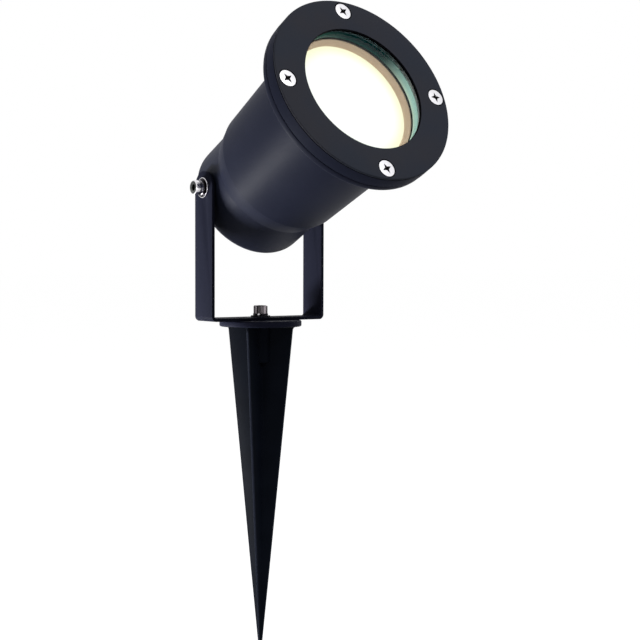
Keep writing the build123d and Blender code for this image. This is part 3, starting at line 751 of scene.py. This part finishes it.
def makeFaceScrews(size):
    middle, rise = size["crownMiddle"]
    head = [(size["shank"] - size["threadDepth"], -size["headDepth"]), (size["head"], -size["rim"])]
    head += [(size["head"], 0), (size["head"] * middle, size["crown"] * rise), (0, size["crown"])]
    thread = (size["shank"], size["threadDepth"], size["threadPitch"])
    outline = threaded(*thread, -size["length"], -size["headDepth"]) + head
    well = [(0, -size["crossDepth"] - size["socketPoint"]), (size["socket"] / 2, -size["crossDepth"])]
    well += [(size["socket"], spare), (0, spare)]
    screws = []
    for place, turn in zip(screwPlaces(ringSize["screwCircle"], ringFront), size["turns"]):
        screw = lathe([(radius, height - size["crown"]) for radius, height in outline], 48)
        for wing in taperedCross(size):
            screw = carve(screw, wing)
        screw = carve(screw, lathe(well, 24))
        screws.append(moved(screw, place @ turned(turn)))
    paint = Paint("screwSteel", headPlace, Metallic=1.0)
    # painted shade: darker, and rougher, below the ring's face, in the cross and round the head's rim
    sunkShade = 1 - paint.fade(paint.parts()[2], ringFront, size["sunkShade"])
    smear = paint.noise(1.2, 3)
    brush = paint.noise(0.1, 2, 0.5, paint.stretched(1, 6, 1))
    toned = paint.mix(sunkShade, size["colour"], size["sunkShadeColour"])
    steel = paint.coat(toned, 0.34 + (smear - 0.5) * 0.2 + sunkShade * 0.2, brush, 0.006)
    makePiece("faceScrews", joined(screws), "screw_steel", steel, ["face_screws"], 30)


makeFaceScrews(screwSize)
print("face screws made")

# Glass, its seal and the lamp behind it

glassBack, glassFront, glassRadius = span("glass_pane", headPlace)
sealLow, sealHigh, sealRadius = span("glass_seal", headPlace)
lampFront, lampRadius = span("lamp_body", headPlace)[1:]
lensBack, lensFront, lensRadius = span("lamp_lens", headPlace)
glassSize = {
    "edge": 0.4,
    "gap": 0.03,
    "tint": (0.93, 0.985, 0.965, 1),
    "haze": 0.2,
    "mirror": (0.05, 0.05, 0.05, 1),
    "ior": 1.5,
}
sealSize = {
    "skirtOuter": 33.0,
    "skirtInner": 32.1,
    "gap": 0.04,
    # painted light and shade round the seal: lit at the painted light's turn, dark beside it, grey opposite
    "paintedLightTurn": -25.0,
    "light": (0.3, 0.92),  # painted light: none to full, where 1 is straight at the painted light's turn
    "grey": (-0.95, -0.2),
    # the lit, shaded and grey painted tones of the seal's wall, of its paler foot near the lamp, which is painted
    # light, and of its shelf, whose lit tone is a painted highlight
    "wall": {"light": (186, 230, 224), "dark": (0, 36, 39), "grey": (60, 96, 88)},
    "foot": {"light": (214, 242, 228), "dark": (8, 66, 64), "grey": (108, 128, 118)},
    "shelf": {"light": (250, 253, 251), "dark": (112, 134, 138), "grey": (34, 52, 50)},
    # painted black shadow at the seal's foot, and the fades of the painted light at the foot, the painted shade
    # under the shelf and the painted highlight on it
    "black": (2, 3, 2),
    "footShadowFade": (0.6, 0.7),
    "footLightFade": (0.6, 3.2),
    "creaseShadeFade": (-0.6, -0.3),
    "creaseShadeDepth": 0.7,
    "shelfHighlightFade": (-0.06, -0.02),
}
lampSize = {
    "tan": (226, 196, 168),
    "tanSecond": (226, 190, 164),
    "lensTone": (56, 54, 44),
    "lensGlow": (1.0, 0.985, 0.965, 1),
    "lensEdgeGlow": (0.97, 0.93, 0.66, 1),
    "glow": 1.07,
    "glowRim": 0.78,  # share of the lens's radius
    "paleTurn": 215,  # the side where the rim turns less yellow
    "pale": (0.2, 0.9),
    "paleDepth": 0.7,
    "lensCrown": 0.25,
    "rimShadowFade": (-0.25, -0.15),
    "rimShadowDepth": (-3, -2),
}


def makeGlass(size):
    paint = Paint("frontGlass", headPlace, Transmission_Weight=1.0, Roughness=0.0)
    paint.feed("IOR", size["ior"])
    paint.feed("Specular Tint", size["mirror"])
    haze = paint.noise(9.0, 2)
    paint.feed("Base Color", paint.mix(haze * size["haze"], size["tint"], (1, 1, 1, 1)))
    edge = size["edge"]
    low, high = glassBack + size["gap"], glassFront - size["gap"]
    outline = [(0, low), (glassRadius - edge, low), (glassRadius, low + edge)]
    outline += [(glassRadius, high - edge), (glassRadius - edge, high), (0, high)]
    pane = lathe(outline)
    makePiece("glassPane", pane, "front_glass", paint.material, ["glass_pane"], 20)


def turnedTo(paint, degrees):  # 1 where the surface lies on that side of the beam, -1 opposite
    across, upward = paint.parts()[:2]
    turn = radians(degrees)
    return (across * cos(turn) + upward * sin(turn)) / paint.distance(across, upward)


def makeSeal(size):
    paint = Paint("sealRubber", headPlace, Specular_IOR_Level=0.0)
    along = paint.parts()[2]
    # painted light: how straight each spot faces the lit turn
    facing = turnedTo(paint, size["paintedLightTurn"])
    light = paint.step(facing, *size["light"])
    grey = 1 - paint.step(facing, *size["grey"])
    high = sealHigh - size["gap"]
    tones = {}
    for zone in ("wall", "foot", "shelf"):
        shades = size[zone]
        tones[zone] = paint.mix(grey, paint.mix(light, shades["dark"], shades["light"]), shades["grey"])
    # painted light paler at the foot, painted shade under the shelf, a painted highlight on the shelf and a
    # painted black shadow at the foot
    foot = 1 - paint.fade(along, sealLow, size["footLightFade"])
    creaseShade = paint.fade(along, high, size["creaseShadeFade"]) * size["creaseShadeDepth"]
    black = 1 - paint.fade(along, sealLow, size["footShadowFade"])
    toned = paint.mix(foot, tones["wall"], tones["foot"])
    toned = paint.mix(creaseShade, toned, size["wall"]["dark"])
    toned = paint.mix(paint.fade(along, high, size["shelfHighlightFade"]), toned, tones["shelf"])
    toned = paint.mix(black, toned, size["black"])
    rubber = paint.coat(toned, 0.5 + paint.noise(0.8, 2) * 0.15, paint.noise(1.6, 2), 0.01)
    inner = size["skirtInner"]
    outline = [(inner, sealLow), (size["skirtOuter"], sealLow), (size["skirtOuter"], flangeFront)]
    outline += [(sealRadius, flangeFront), (sealRadius, high), (inner, high)]
    ring = lathe(outline, closed=True)
    makePiece("glassSeal", ring, "seal_rubber", rubber, ["glass_seal"])


def makeLampFront(size):
    paint = Paint("lampDiffuser", headPlace, Specular_IOR_Level=0.05)
    across, upward = paint.parts()[:2]
    rim = paint.step(paint.distance(across, upward), lensRadius * size["glowRim"], lensRadius)
    pale = paint.step(turnedTo(paint, size["paleTurn"]), *size["pale"]) * size["paleDepth"]
    paint.feed("Emission Color", paint.mix(rim * (1 - pale), size["lensGlow"], size["lensEdgeGlow"]))
    paint.feed("Emission Strength", size["glow"])
    diffuser = paint.coat(size["lensTone"], 0.35, paint.noise(0.7, 2), 0.02)
    crown = size["lensCrown"]
    outline = [(0, lensBack), (lensRadius, lensBack), (lensRadius, lensFront - crown)]
    outline += arc((0, lensFront - crown), (lensRadius, crown), 12, 90, 12)
    lens = lathe(outline)
    makePiece("lampLens", lens, "lamp_diffuser", diffuser, ["lamp_lens"])


makeGlass(glassSize)
makeSeal(sealSize)
makeLampFront(lampSize)
print("glass, seal and lens made")

# Bracket

bracketBox = [corner * 1000 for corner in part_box("bracket")]
bracketSize = {"thickness": 1.5, "bend": 1.0, "hole": 2.1, "edge": 0.22, "endSteps": 96, "bendSteps": 10}


def makeBracket(size):
    thick = size["thickness"]
    low = bracketBox[0].z + thick / 2
    side = bracketBox[0].x + thick / 2
    half = bracketBox[1].y
    bend = size["bend"] + thick / 2
    hinge = (0, 0, hingeHeight)
    # one arm's middle surface: a round end, a straight, a bend and half the foot, mirrored for the other
    bm = bmesh.new()
    eye = shift(side, 0, hingeHeight) @ turned(90, "Y")
    bmesh.ops.create_circle(bm, cap_ends=True, segments=size["endSteps"], radius=half, matrix=eye)
    lower = {"plane_co": hinge, "plane_no": (0, 0, 1), "clear_inner": True}
    bmesh.ops.bisect_plane(bm, geom=allOf(bm), dist=0.001, **lower)
    end = [edge for edge in bm.edges if all(abs(vert.co.z - hingeHeight) < 0.001 for vert in edge.verts)]
    drawn = bmesh.ops.extrude_edge_only(bm, edges=end)["geom"]
    feet = only(drawn, bmesh.types.BMVert)
    bmesh.ops.translate(bm, verts=feet, vec=(0, 0, low + bend - hingeHeight))
    tail = [item for item in drawn if not isinstance(item, bmesh.types.BMFace)]
    turn = {"cent": (side + bend, 0, low + bend), "axis": (0, 1, 0), "angle": -pi / 2}
    spun = bmesh.ops.spin(bm, geom=tail, steps=size["bendSteps"], **turn)["geom_last"]
    foot = bmesh.ops.extrude_edge_only(bm, edges=only(spun, bmesh.types.BMEdge))["geom"]
    bmesh.ops.translate(bm, verts=only(foot, bmesh.types.BMVert), vec=(-(side + bend), 0, 0))
    bmesh.ops.mirror(bm, geom=allOf(bm), axis="X", merge_dist=0.001)
    strip = thicken(tidied(bm), thick)
    bore = disc(size["hole"], side * 2, -side * 2, 0, 48)
    strip = carve(strip, moved(bore, shift(*hinge) @ turned(90, "Y")))
    strip = carve(strip, disc(size["hole"], 0, low * 2, 0, 48))
    roundEdges(strip, size["edge"], 3, 50)
    paint = powderCoat("bracketCoat", millimetre, bracketCoat)
    makePiece("bracketStrip", strip, "bracket_coat", paint.material, ["bracket"], 32, millimetre, "bracket")


makeBracket(bracketSize)
print("bracket made")

# Ground spike

spikeLow, spikeTop, spikeFlange = span("ground_spike", millimetre)
spikeSize = {
    "turn": 35.0,
    "flangeEdge": 0.8,
    "halfSpan": 17.2,
    "flare": 1.3,
    "flareMiddle": 0.35,  # share of the flare where its curve has a row of points
    "tipHalfSpan": 1.15,
    "point": 2.3,
    "rootHalf": 1.25,
    "edgeHalf": 0.55,
    "taperFrom": 40.0,
    "edge": 0.25,
    "bossRadius": 5.9,
    "bossLength": 18.0,
    "bossDraft": 0.4,
    "bossEdge": 0.3,
    "colour": (11, 15, 23),
    "second": (15, 19, 28),
    # painted highlight along the blades' outer edges
    "edgeHighlightColour": (38, 42, 54),
    "flangeSheenColour": (34, 36, 52),
    "edgeHighlight": (-0.35, -0.1),
    "flangeSheenFade": (0.1, 0.3),
}


def makeSpike(size):
    thin = size["rootHalf"]
    flare = size["flare"]
    tipHalf = size["tipHalfSpan"]
    tip = spikeLow + size["point"]
    full = size["halfSpan"] + flare
    # a straight cross of four arms, cut into levels, whose points are then drawn in to the taper
    core = bmesh.new()
    bmesh.ops.create_cube(core, size=2 * thin)
    for vert in core.verts:
        vert.co.z = spikeTop / 2 if vert.co.z > 0 else tip
    sides = [face for face in core.faces if abs(face.normal.z) < 0.5]
    for face in sides:
        outward = face.normal.copy()
        drawn = bmesh.ops.extrude_discrete_faces(core, faces=[face])["faces"][0]
        bmesh.ops.translate(core, verts=drawn.verts, vec=outward * (full - thin))
    taper = size["taperFrom"]
    for level in (0, -flare * size["flareMiddle"], -flare, spikeLow + taper, spikeLow + taper / 3):
        cut = {"plane_co": (0, 0, level), "plane_no": (0, 0, 1)}
        bmesh.ops.bisect_plane(core, geom=allOf(core), dist=0.001, **cut)
    slope = (size["halfSpan"] - tipHalf) / (-flare - tip)
    tipThin = tipHalf / 2
    for vert in core.verts:
        height = vert.co.z
        reach = tipHalf + slope * (height - tip)
        if height > -flare:
            reach = size["halfSpan"] + flare * min(1, (1 + height / flare) ** 2)
        slim = tipThin + min(1, (height - tip) / taper) * (thin - tipThin)
        for axis in (0, 1):
            if abs(vert.co[axis]) > thin + 0.01:
                vert.co[axis] *= reach / full
                vert.co[1 - axis] *= size["edgeHalf"] / thin * slim / thin
            elif abs(vert.co[1 - axis]) <= thin + 0.01:
                vert.co[axis] *= slim / thin
    low = tip + 0.1
    flat = [face for face in core.faces if face.normal.z < -0.9 and face.calc_center_median().z < low]
    drawn = bmesh.ops.extrude_face_region(core, geom=flat)["geom"]
    ends = only(drawn, bmesh.types.BMVert)
    bmesh.ops.delete(core, geom=flat, context="FACES_ONLY")
    bmesh.ops.pointmerge(core, verts=ends, merge_co=(0, 0, spikeLow))
    tidied(core)
    roundEdges(core, size["edge"], 2, 40)
    lowest = min(vert.co.z for vert in core.verts)
    for vert in core.verts:
        if vert.co.z < lowest + 0.02:
            vert.co.z = spikeLow
    flange = disc(spikeFlange, 0, spikeTop, size["flangeEdge"], roundSteps)
    body = carve(flange, moved(core, turned(size["turn"])), "UNION")
    draft = size["bossRadius"] - size["bossDraft"]  # the boss's radius at its foot
    foot = -size["bossLength"]
    boss = [(0, foot), (draft - size["bossEdge"], foot), (draft, foot + size["bossEdge"])]
    boss += [(size["bossRadius"], 0), (size["bossRadius"], spikeTop / 2), (0, spikeTop / 2)]
    body = carve(body, lathe(boss, smallSteps), "UNION")
    paint = Paint("spikePlastic", millimetre, Specular_IOR_Level=0.02)
    x, y, z = paint.parts()
    # painted highlight: lighter along the blades' outer edges, below the flare
    edgeHighlight = paint.step(paint.distance(x, y) - tipHalf - (z - tip) * slope, *size["edgeHighlight"])
    edgeHighlight = edgeHighlight * (1 - paint.step(z, -2 * flare, -flare))
    toned = paint.mix(paint.step(paint.noise(14.0, 3), 0.3, 0.7), size["colour"], size["second"])
    toned = paint.mix(edgeHighlight, toned, size["edgeHighlightColour"])
    # painted sheen: the flange lighter and bluer than the blades
    toned = paint.mix(paint.step(z, *size["flangeSheenFade"]), toned, size["flangeSheenColour"])
    grain = paint.noise(0.35, 2)
    nylon = paint.coat(toned, 0.5 + (grain - 0.5) * 0.12, grain, 0.012)
    makePiece("groundSpike", body, "spike_plastic", nylon, ["ground_spike"], 35, millimetre, "spike")


makeSpike(spikeSize)
print("spike made")

# Bolts and washers

boltSize = {
    "radius": 3.5,
    "height": 4.0,
    "edge": 0.3,
    "ridges": 28,
    "ridgeDepth": 0.14,
    "plainTop": 0.5,
    "neckRise": 0.12,  # from the ridges up to the plain rim
    "neckShrink": 0.985,
    "socket": 3.0,
    "socketDepth": 2.2,
    "mouth": 0.5,  # the cone round the socket's opening
    "mouthDepth": 0.35,
    "mouthRise": 0.15,
    "shank": 2.0,
    "shankTop": 0.2,
    "threadDepth": 0.2,
    "threadPitch": 0.7,
    "baseLength": 12.0,
    "pivotLength": 10.0,
    "pivotRidgeDepth": 0.06,
}
washerSize = {
    "flat": 4.9,
    "flatThickness": 0.8,
    "flatEdge": 0.12,
    "spring": 3.75,
    "springThickness": 1.0,
    "springEdge": 0.08,
    "springSteps": 60,
    "hole": 2.1,
    "gap": 0.8,
    "lean": 28,
    "baseTurn": 242,
    "pivotTurn": 50,
}


def makeCapScrew(size, length, ridgeDepth):
    radius, height, edge = size["radius"], size["height"], size["edge"]
    bm = bmesh.new()
    segments = size["ridges"] * 4
    circle = bmesh.ops.create_circle(bm, cap_ends=True, segments=segments, radius=radius)["verts"]
    for index, vert in enumerate(circle):
        if index % 4 > 1:
            vert.co.xy *= 1 - ridgeDepth / radius
    foot = bm.faces[:]
    neck = size["neckRise"]
    rises = (height - size["plainTop"], neck, size["plainTop"] - neck - edge)
    for rise, shrink in zip(rises, (1.0, size["neckShrink"], 1.0)):
        top = bmesh.ops.extrude_face_region(bm, geom=foot)["geom"]
        if foot[0].calc_center_median().z > 0.01:
            bmesh.ops.delete(bm, geom=foot, context="FACES_ONLY")
        verts = only(top, bmesh.types.BMVert)
        bmesh.ops.translate(bm, verts=verts, vec=(0, 0, rise))
        if shrink < 1:
            for vert in verts:
                vert.co.xy = vert.co.xy.normalized() * radius * shrink
        foot = only(top, bmesh.types.BMFace)
    cap = bmesh.ops.extrude_face_region(bm, geom=foot)["geom"]
    bmesh.ops.delete(bm, geom=foot, context="FACES_ONLY")
    for vert in only(cap, bmesh.types.BMVert):
        vert.co.z += edge
        vert.co.xy *= 1 - edge / radius
    tidied(bm)
    bm = carve(bm, prism(6, size["socket"], height - size["socketDepth"], height + spare))
    inner = size["socket"] / 2
    low, high = height - size["mouthDepth"], height + size["mouthRise"]
    bm = carve(bm, lathe([(0, low), (inner, low), (inner + size["mouth"], high), (0, high)], 48))
    shank = threaded(size["shank"], size["threadDepth"], size["threadPitch"], -length, size["shankTop"])
    return carve(bm, lathe(shank + [(0, size["shankTop"])], 32), "UNION")


def makeSpringWasher(size):
    outer, inner, thick = size["spring"], size["hole"], size["springThickness"]
    sweep = tau - size["gap"] / outer
    bm = bmesh.new()
    corners = [(outer, 0), (outer, thick), (inner, thick), (inner, 0)]
    verts = [bm.verts.new((radius, 0, height)) for radius, height in corners]
    bm.faces.new(verts)
    turn = {"cent": (0, 0, 0), "axis": (0, 0, 1), "angle": sweep, "steps": size["springSteps"]}
    bmesh.ops.spin(bm, geom=allOf(bm), **turn)
    tidied(bm)
    roundEdges(bm, size["springEdge"], 2, 60)
    lean = tan(radians(size["lean"])) / outer
    for vert in bm.verts:
        turn = Matrix.Rotation(vert.co.z * lean, 3, "Z")
        bmesh.ops.rotate(bm, verts=[vert], cent=(0, 0, 0), matrix=turn)
    return bm


# painted reflections and glints on the bolts and washers, as bright metal's base colours
steelReflectionTones = {
    "bright": (232, 230, 234),
    "grey": (112, 110, 114),
    "faceUpper": (64, 66, 66),
    "faceLower": (92, 94, 92),
    "dark": (34, 32, 36),
    "faceReflectionSplit": (0.6, -2.4),  # from the upper to the lower painted reflection across the pivot bolt's end
    "faceRim": (-0.55, -0.35),
    "bandFrom": (-2.9, -2.7),
    "bandTo": (-2.3, -2.1),
    "faceFrom": (-3.5, -3.2),
    "washerRimHighlight": (-0.35, -0.2),
    "glintTurn": (0.35, 0.94),  # where the painted glints sit on the pivot's split washers
    "spot": (0.93, 0.985),
    "baseSplit": 222.0,
    "baseGlint": (0.985, 0.998),
    "reflectionStripeTurn": 213.1,
    "reflectionStripes": (  # painted reflections: grey level along half a turn of the head
        (0.0, 80), (0.22, 80), (0.235, 142), (0.29, 142), (0.31, 40), (0.365, 40),
        (0.38, 74), (0.51, 74), (0.53, 110), (0.59, 108), (0.61, 74), (0.645, 78),
        (0.665, 162), (0.8, 158), (0.825, 64), (0.92, 66), (1.0, 80),
    ),
}


def hingeSteel(name, part):  # one paint for each pivot piece, with its reflections painted on: a dark end and a grey band on the bright bolt, a highlight on the flat washer's rim, glints on the split washers
    paint = Paint(name, millimetre, Metallic=1.0)
    x, y, z = paint.parts()
    rise = z - hingeHeight
    reach = paint.distance(y, rise)
    out = paint.maths("ABSOLUTE", x)
    tones = steelReflectionTones
    if part == "bolt":
        washers = washerSize["flatThickness"] + washerSize["springThickness"]
        end = bracketBox[1].x + washers + boltSize["height"]
        # painted reflections on the bolt: upper and lower dark tones on its end, a grey band on its bright side
        face = paint.mix(paint.step(rise, *tones["faceReflectionSplit"]), tones["faceUpper"], tones["faceLower"])
        inside = 1 - paint.fade(reach, boltSize["radius"], tones["faceRim"])
        reflectionBand = paint.fade(out, end, tones["bandFrom"]) * (1 - paint.fade(out, end, tones["bandTo"]))
        side = paint.mix(reflectionBand, tones["bright"], tones["grey"])
        colour = paint.mix(inside * paint.fade(out, end, tones["faceFrom"]), side, face)
    elif part == "flat":
        # painted highlight round the flat washer's rim, a painted dark reflection inside it
        rim = paint.fade(reach, washerSize["flat"], tones["washerRimHighlight"])
        colour = paint.mix(rim, tones["dark"], tones["bright"])
    else:
        # painted glints where the split washers face the given turn
        level, upright = tones["glintTurn"]
        facing = paint.maths("ABSOLUTE", y * level + rise * upright) / reach
        colour = paint.mix(paint.step(facing, *tones["spot"]), tones["dark"], tones["bright"])
    return paint.coat(colour, 0.16 + paint.noise(1.2, 2) * 0.1, paint.noise(0.5, 2), 0.004)


def baseSteel(name, part):  # painted reflections: grey stripes drawn round the base bolt, a painted glint at the split end of its dark split washer
    paint = Paint(name, millimetre, Metallic=1.0)
    x, y = paint.parts()[:2]
    tones = steelReflectionTones
    if part == "bolt":
        # painted reflections: grey stripes drawn by the angle round the head
        angle = paint.maths("ARCTAN2", y, x) * (180 / pi)
        half = paint.maths("FRACT", (angle + tones["reflectionStripeTurn"]) / 180)
        stops = [(where, (level, level * 0.95, level * 0.98)) for where, level in tones["reflectionStripes"]]
        colour = paint.node("ValToRGB", "Color", {"stops": stops}, {"Fac": half})
    else:
        # painted glint at the split washer's end
        split = radians(tones["baseSplit"])
        facing = (x * cos(split) + y * sin(split)) / paint.distance(x, y)
        colour = paint.mix(paint.step(facing, *tones["baseGlint"]), tones["dark"], tones["bright"])
    return paint.coat(colour, 0.32 + paint.noise(0.8, 2) * 0.16, paint.noise(0.3, 2), 0.004)


def makeFasteners(bolt, size):
    black = metal("blackSteel", (30, 30, 35), (22, 22, 26), 0.42, 0.4, 0.6, millimetre)
    split = baseSteel("splitSteel", "spring")
    zinc = baseSteel("zincSteel", "bolt")
    flatThick, springThick = size["flatThickness"], size["springThickness"]
    seat = shift(0, 0, bracketBox[0].z + bracketSize["thickness"])
    lifted = seat @ shift(0, 0, flatThick)
    raised = lifted @ shift(0, 0, springThick)
    flat = moved(washer(size["flat"], size["hole"], 0, flatThick, size["flatEdge"]), seat)
    onSpike = {"place": millimetre, "body": "spike"}
    makePiece("baseFlatWasher", flat, "black_steel", black, ["base_flat_washer"], **onSpike)
    spring = moved(makeSpringWasher(size), lifted @ turned(size["baseTurn"]))
    makePiece("baseSpringWasher", spring, "bright_steel", split, ["base_spring_washer"], **onSpike)
    screw = moved(makeCapScrew(bolt, bolt["baseLength"], bolt["ridgeDepth"]), raised)
    makePiece("baseBolt", screw, "zinc_steel", zinc, ["base_bolt"], 25, **onSpike)
    shapes = {
        "pivotFlatWashers": ("pivot_flat_washers", "chromed_steel", 0, "flat"),
        "pivotSpringWashers": ("pivot_spring_washers", "bright_steel", flatThick, "spring"),
        "pivotBolts": ("pivot_bolts", "chromed_steel", flatThick + springThick, "bolt"),
    }
    for name, (node, slot, rise, kind) in shapes.items():
        pair = []
        for side in (-1, 1):
            place = shift(side * bracketBox[1].x, 0, hingeHeight) @ turned(90 * side, "Y")
            if kind == "flat":
                shape = washer(size["flat"], size["hole"], 0, flatThick, size["flatEdge"])
            elif kind == "spring":
                shape = moved(makeSpringWasher(size), turned(size["pivotTurn"]))
            else:
                shape = makeCapScrew(bolt, bolt["pivotLength"], bolt["pivotRidgeDepth"])
            pair.append(moved(shape, place @ shift(0, 0, rise)))
        makePiece(name, joined(pair), slot, hingeSteel(name + "Steel", kind), [node], 25, millimetre)


makeFasteners(boltSize, washerSize)
print("fasteners made")

# Cable gland

glandSize = {
    "flats": 15.0,
    "sleeve": 6.2,
    "thread": 6.0,
    "bore": 4.2,
    "hexEdge": 0.35,
    "cap": 7.6,
    "capEdge": 1.6,
    "capHole": 4.1,
    "grooves": 12,
    "grooveRadius": 1.0,
    "grooveSet": 0.5,
    "grooveEnd": 1.0,
    "cable": 3.5,
    "sealBore": 4.95,
    "sealSeat": 5.0,
    "hexGap": 0.5,
    "capFloor": 1.2,
    "room": 0.05,
    "edge": 0.3,
    "washerEdge": 0.2,
}


def makeGland(size):
    washerLow, washerHigh, washerRadius = span("gland_washer", headPlace)
    bodyLow, bodyHigh = span("gland_body", headPlace)[:2]
    capLow, capHigh = span("gland_cap", headPlace)[:2]
    sealBack, sealFront, sealOuter = span("gland_seal", headPlace)
    material = plastic("glandPlastic", (30, 31, 34), (36, 37, 40), 0.38, 0.4, 0.008)
    rubber = plastic("blackRubber", (24, 24, 25), (32, 32, 33), 0.7, 0.5, 0.02)
    edge, room = size["edge"], size["room"]
    ring = washer(washerRadius, size["thread"] + room, washerLow, washerHigh, size["washerEdge"])
    makePiece("glandWasher", ring, "black_rubber", rubber, ["gland_washer"])
    hexLow = capHigh + size["hexGap"]
    nut = roundEdges(prism(6, size["flats"], hexLow, washerLow), size["hexEdge"], 3, 35)
    body = carve(nut, disc(size["thread"], hexLow + spare, bodyHigh, edge), "UNION")
    body = carve(body, disc(size["sleeve"], bodyLow, hexLow + spare, edge), "UNION")
    body = carve(body, disc(size["bore"], bodyLow - spare, bodyHigh + spare))
    body = carve(body, disc(size["sealSeat"], bodyLow - spare, hexLow))
    makePiece("glandBody", body, "gland_plastic", material, ["gland_body"], 30)
    capEdge, floor, inner = size["capEdge"], capLow + size["capFloor"], size["sleeve"] + room
    outline = [(size["capHole"], capLow + edge), (size["capHole"] + edge, capLow)]
    outline += arc((size["cap"] - capEdge, capLow + capEdge), capEdge, -90, 0, 8)
    outline += arc((size["cap"] - edge, capHigh - edge), edge, 0, 90, 3)
    outline += [(inner, capHigh), (inner, floor), (size["capHole"], floor)]
    cap = lathe(outline, 96, closed=True)
    end = size["grooveEnd"]
    for index in range(size["grooves"]):
        place = turned(360 * index / size["grooves"]) @ shift(size["cap"] + size["grooveSet"], 0, 0)
        groove = disc(size["grooveRadius"], capLow + capEdge + end, capHigh - end, edge, 24)
        cap = carve(cap, moved(groove, place))
    makePiece("glandCap", cap, "gland_plastic", material, ["gland_cap"], 30)
    bore = size["sealBore"]
    lip = [(size["cable"], sealBack), (sealOuter, sealBack), (sealOuter, bodyLow), (bore, bodyLow)]
    lip += [(bore, sealFront), (size["cable"], sealFront)]
    sleeve = lathe(lip, smallSteps, closed=True)
    makePiece("glandSeal", sleeve, "black_rubber", rubber, ["gland_seal"])


makeGland(glandSize)
print("gland made")

# Inner pieces keep their own shapes and take a finish

innerPlastics = {  # name, colour, second colour, roughness, grain and depth
    "front_gasket": ("gasketRubber", (22, 22, 23), (30, 30, 31), 0.7, 0.5, 0.02),
    "led_board": ("boardCoat", (236, 236, 232), (228, 228, 222), 0.35, 0.8, 0.005),
    "led_chips": ("ledPhosphor", (240, 204, 84), (232, 190, 66), 0.3, 0.4, 0.01),
    "lamp_driver": ("driverBoard", (36, 84, 52), (30, 74, 46), 0.3, 0.6, 0.01),
    "lamp_cap_insulator": ("blackInsulator", (28, 28, 30), (34, 34, 36), 0.12, 1.0, 0.004),
    "holder_body": ("holderCeramic", (228, 224, 214), (220, 214, 202), 0.18, 1.5, 0.01),
    "terminal_block": ("blockPlastic", (222, 222, 214), (212, 211, 202), 0.4, 0.7, 0.01),
    "live_lead": ("brownSleeve", (98, 62, 40), (88, 54, 34), 0.4, 0.4, 0.01),
    "neutral_lead": ("blueSleeve", (46, 104, 170), (40, 94, 156), 0.4, 0.4, 0.01),
    "gland_locknut": ("locknutPlastic", (30, 31, 34), (36, 37, 40), 0.4, 0.5, 0.008),
    "pivot_friction_washers": ("nylonWasher", (62, 62, 66), (56, 56, 60), 0.5, 0.5, 0.01, millimetre),
}
innerMetals = {  # colour, dull colour, roughness, scratches and dullness, and the nodes that have it
    "brassParts": (
        ((206, 172, 96), (170, 132, 66), 0.28, 0.4, 0.6),
        ("spike_insert", "holder_shell", "holder_contact", "holder_terminals", "block_tubes", "earth_tag"),
    ),
    "platedSteel": (
        ((176, 176, 180), (140, 138, 140), 0.3, 0.4, 0.4),
        ("lamp_contact", "holder_plate", "plate_screws", "holder_screws", "block_screws", "earth_screw"),
    ),
    "lampCapMetal": (((214, 214, 218), (184, 184, 190), 0.25, 0.3, 0.4), ("lamp_cap",)),
}


def lampPaint(size):  # tan plastic, with a painted black shadow round the outside of its rim
    paint = Paint("lampPlastic", headPlace, Specular_IOR_Level=0.2)
    across, upward, along = paint.parts()
    paint.feed("Base Color", paint.mix(paint.noise(9.0, 3), size["tan"], size["tanSecond"]))
    paint.feed("Roughness", 0.45 + paint.noise(0.6, 2) * 0.1)
    # painted shadow: black on the rim's outside, in the gap to the seal
    rimShadow = paint.fade(paint.distance(across, upward), lampRadius, size["rimShadowFade"])
    paintShade(paint, rimShadow * paint.fade(along, lampFront, size["rimShadowDepth"]))
    return paint.material


def earthSleeve():  # green with a yellow stripe along the core
    paint = Paint("greenSleeve", headPlace)
    toned = paint.mix(paint.step(paint.parts()[0], 0.2, 0.3), (48, 138, 62), (226, 206, 60))
    return paint.coat(toned, 0.4, paint.noise(0.4, 2), 0.01)


finishes = {node: plastic(*values) for node, values in innerPlastics.items()}
for metalName, (values, nodes) in innerMetals.items():
    finishes.update(dict.fromkeys(nodes, metal(metalName, *values)))
finishes["lamp_body"] = lampPaint(lampSize)
finishes["earth_lead"] = earthSleeve()
for node, material in finishes.items():
    for slot in frame["nodes"][node].material_slots:
        slot.material = material
print("inner pieces finished")
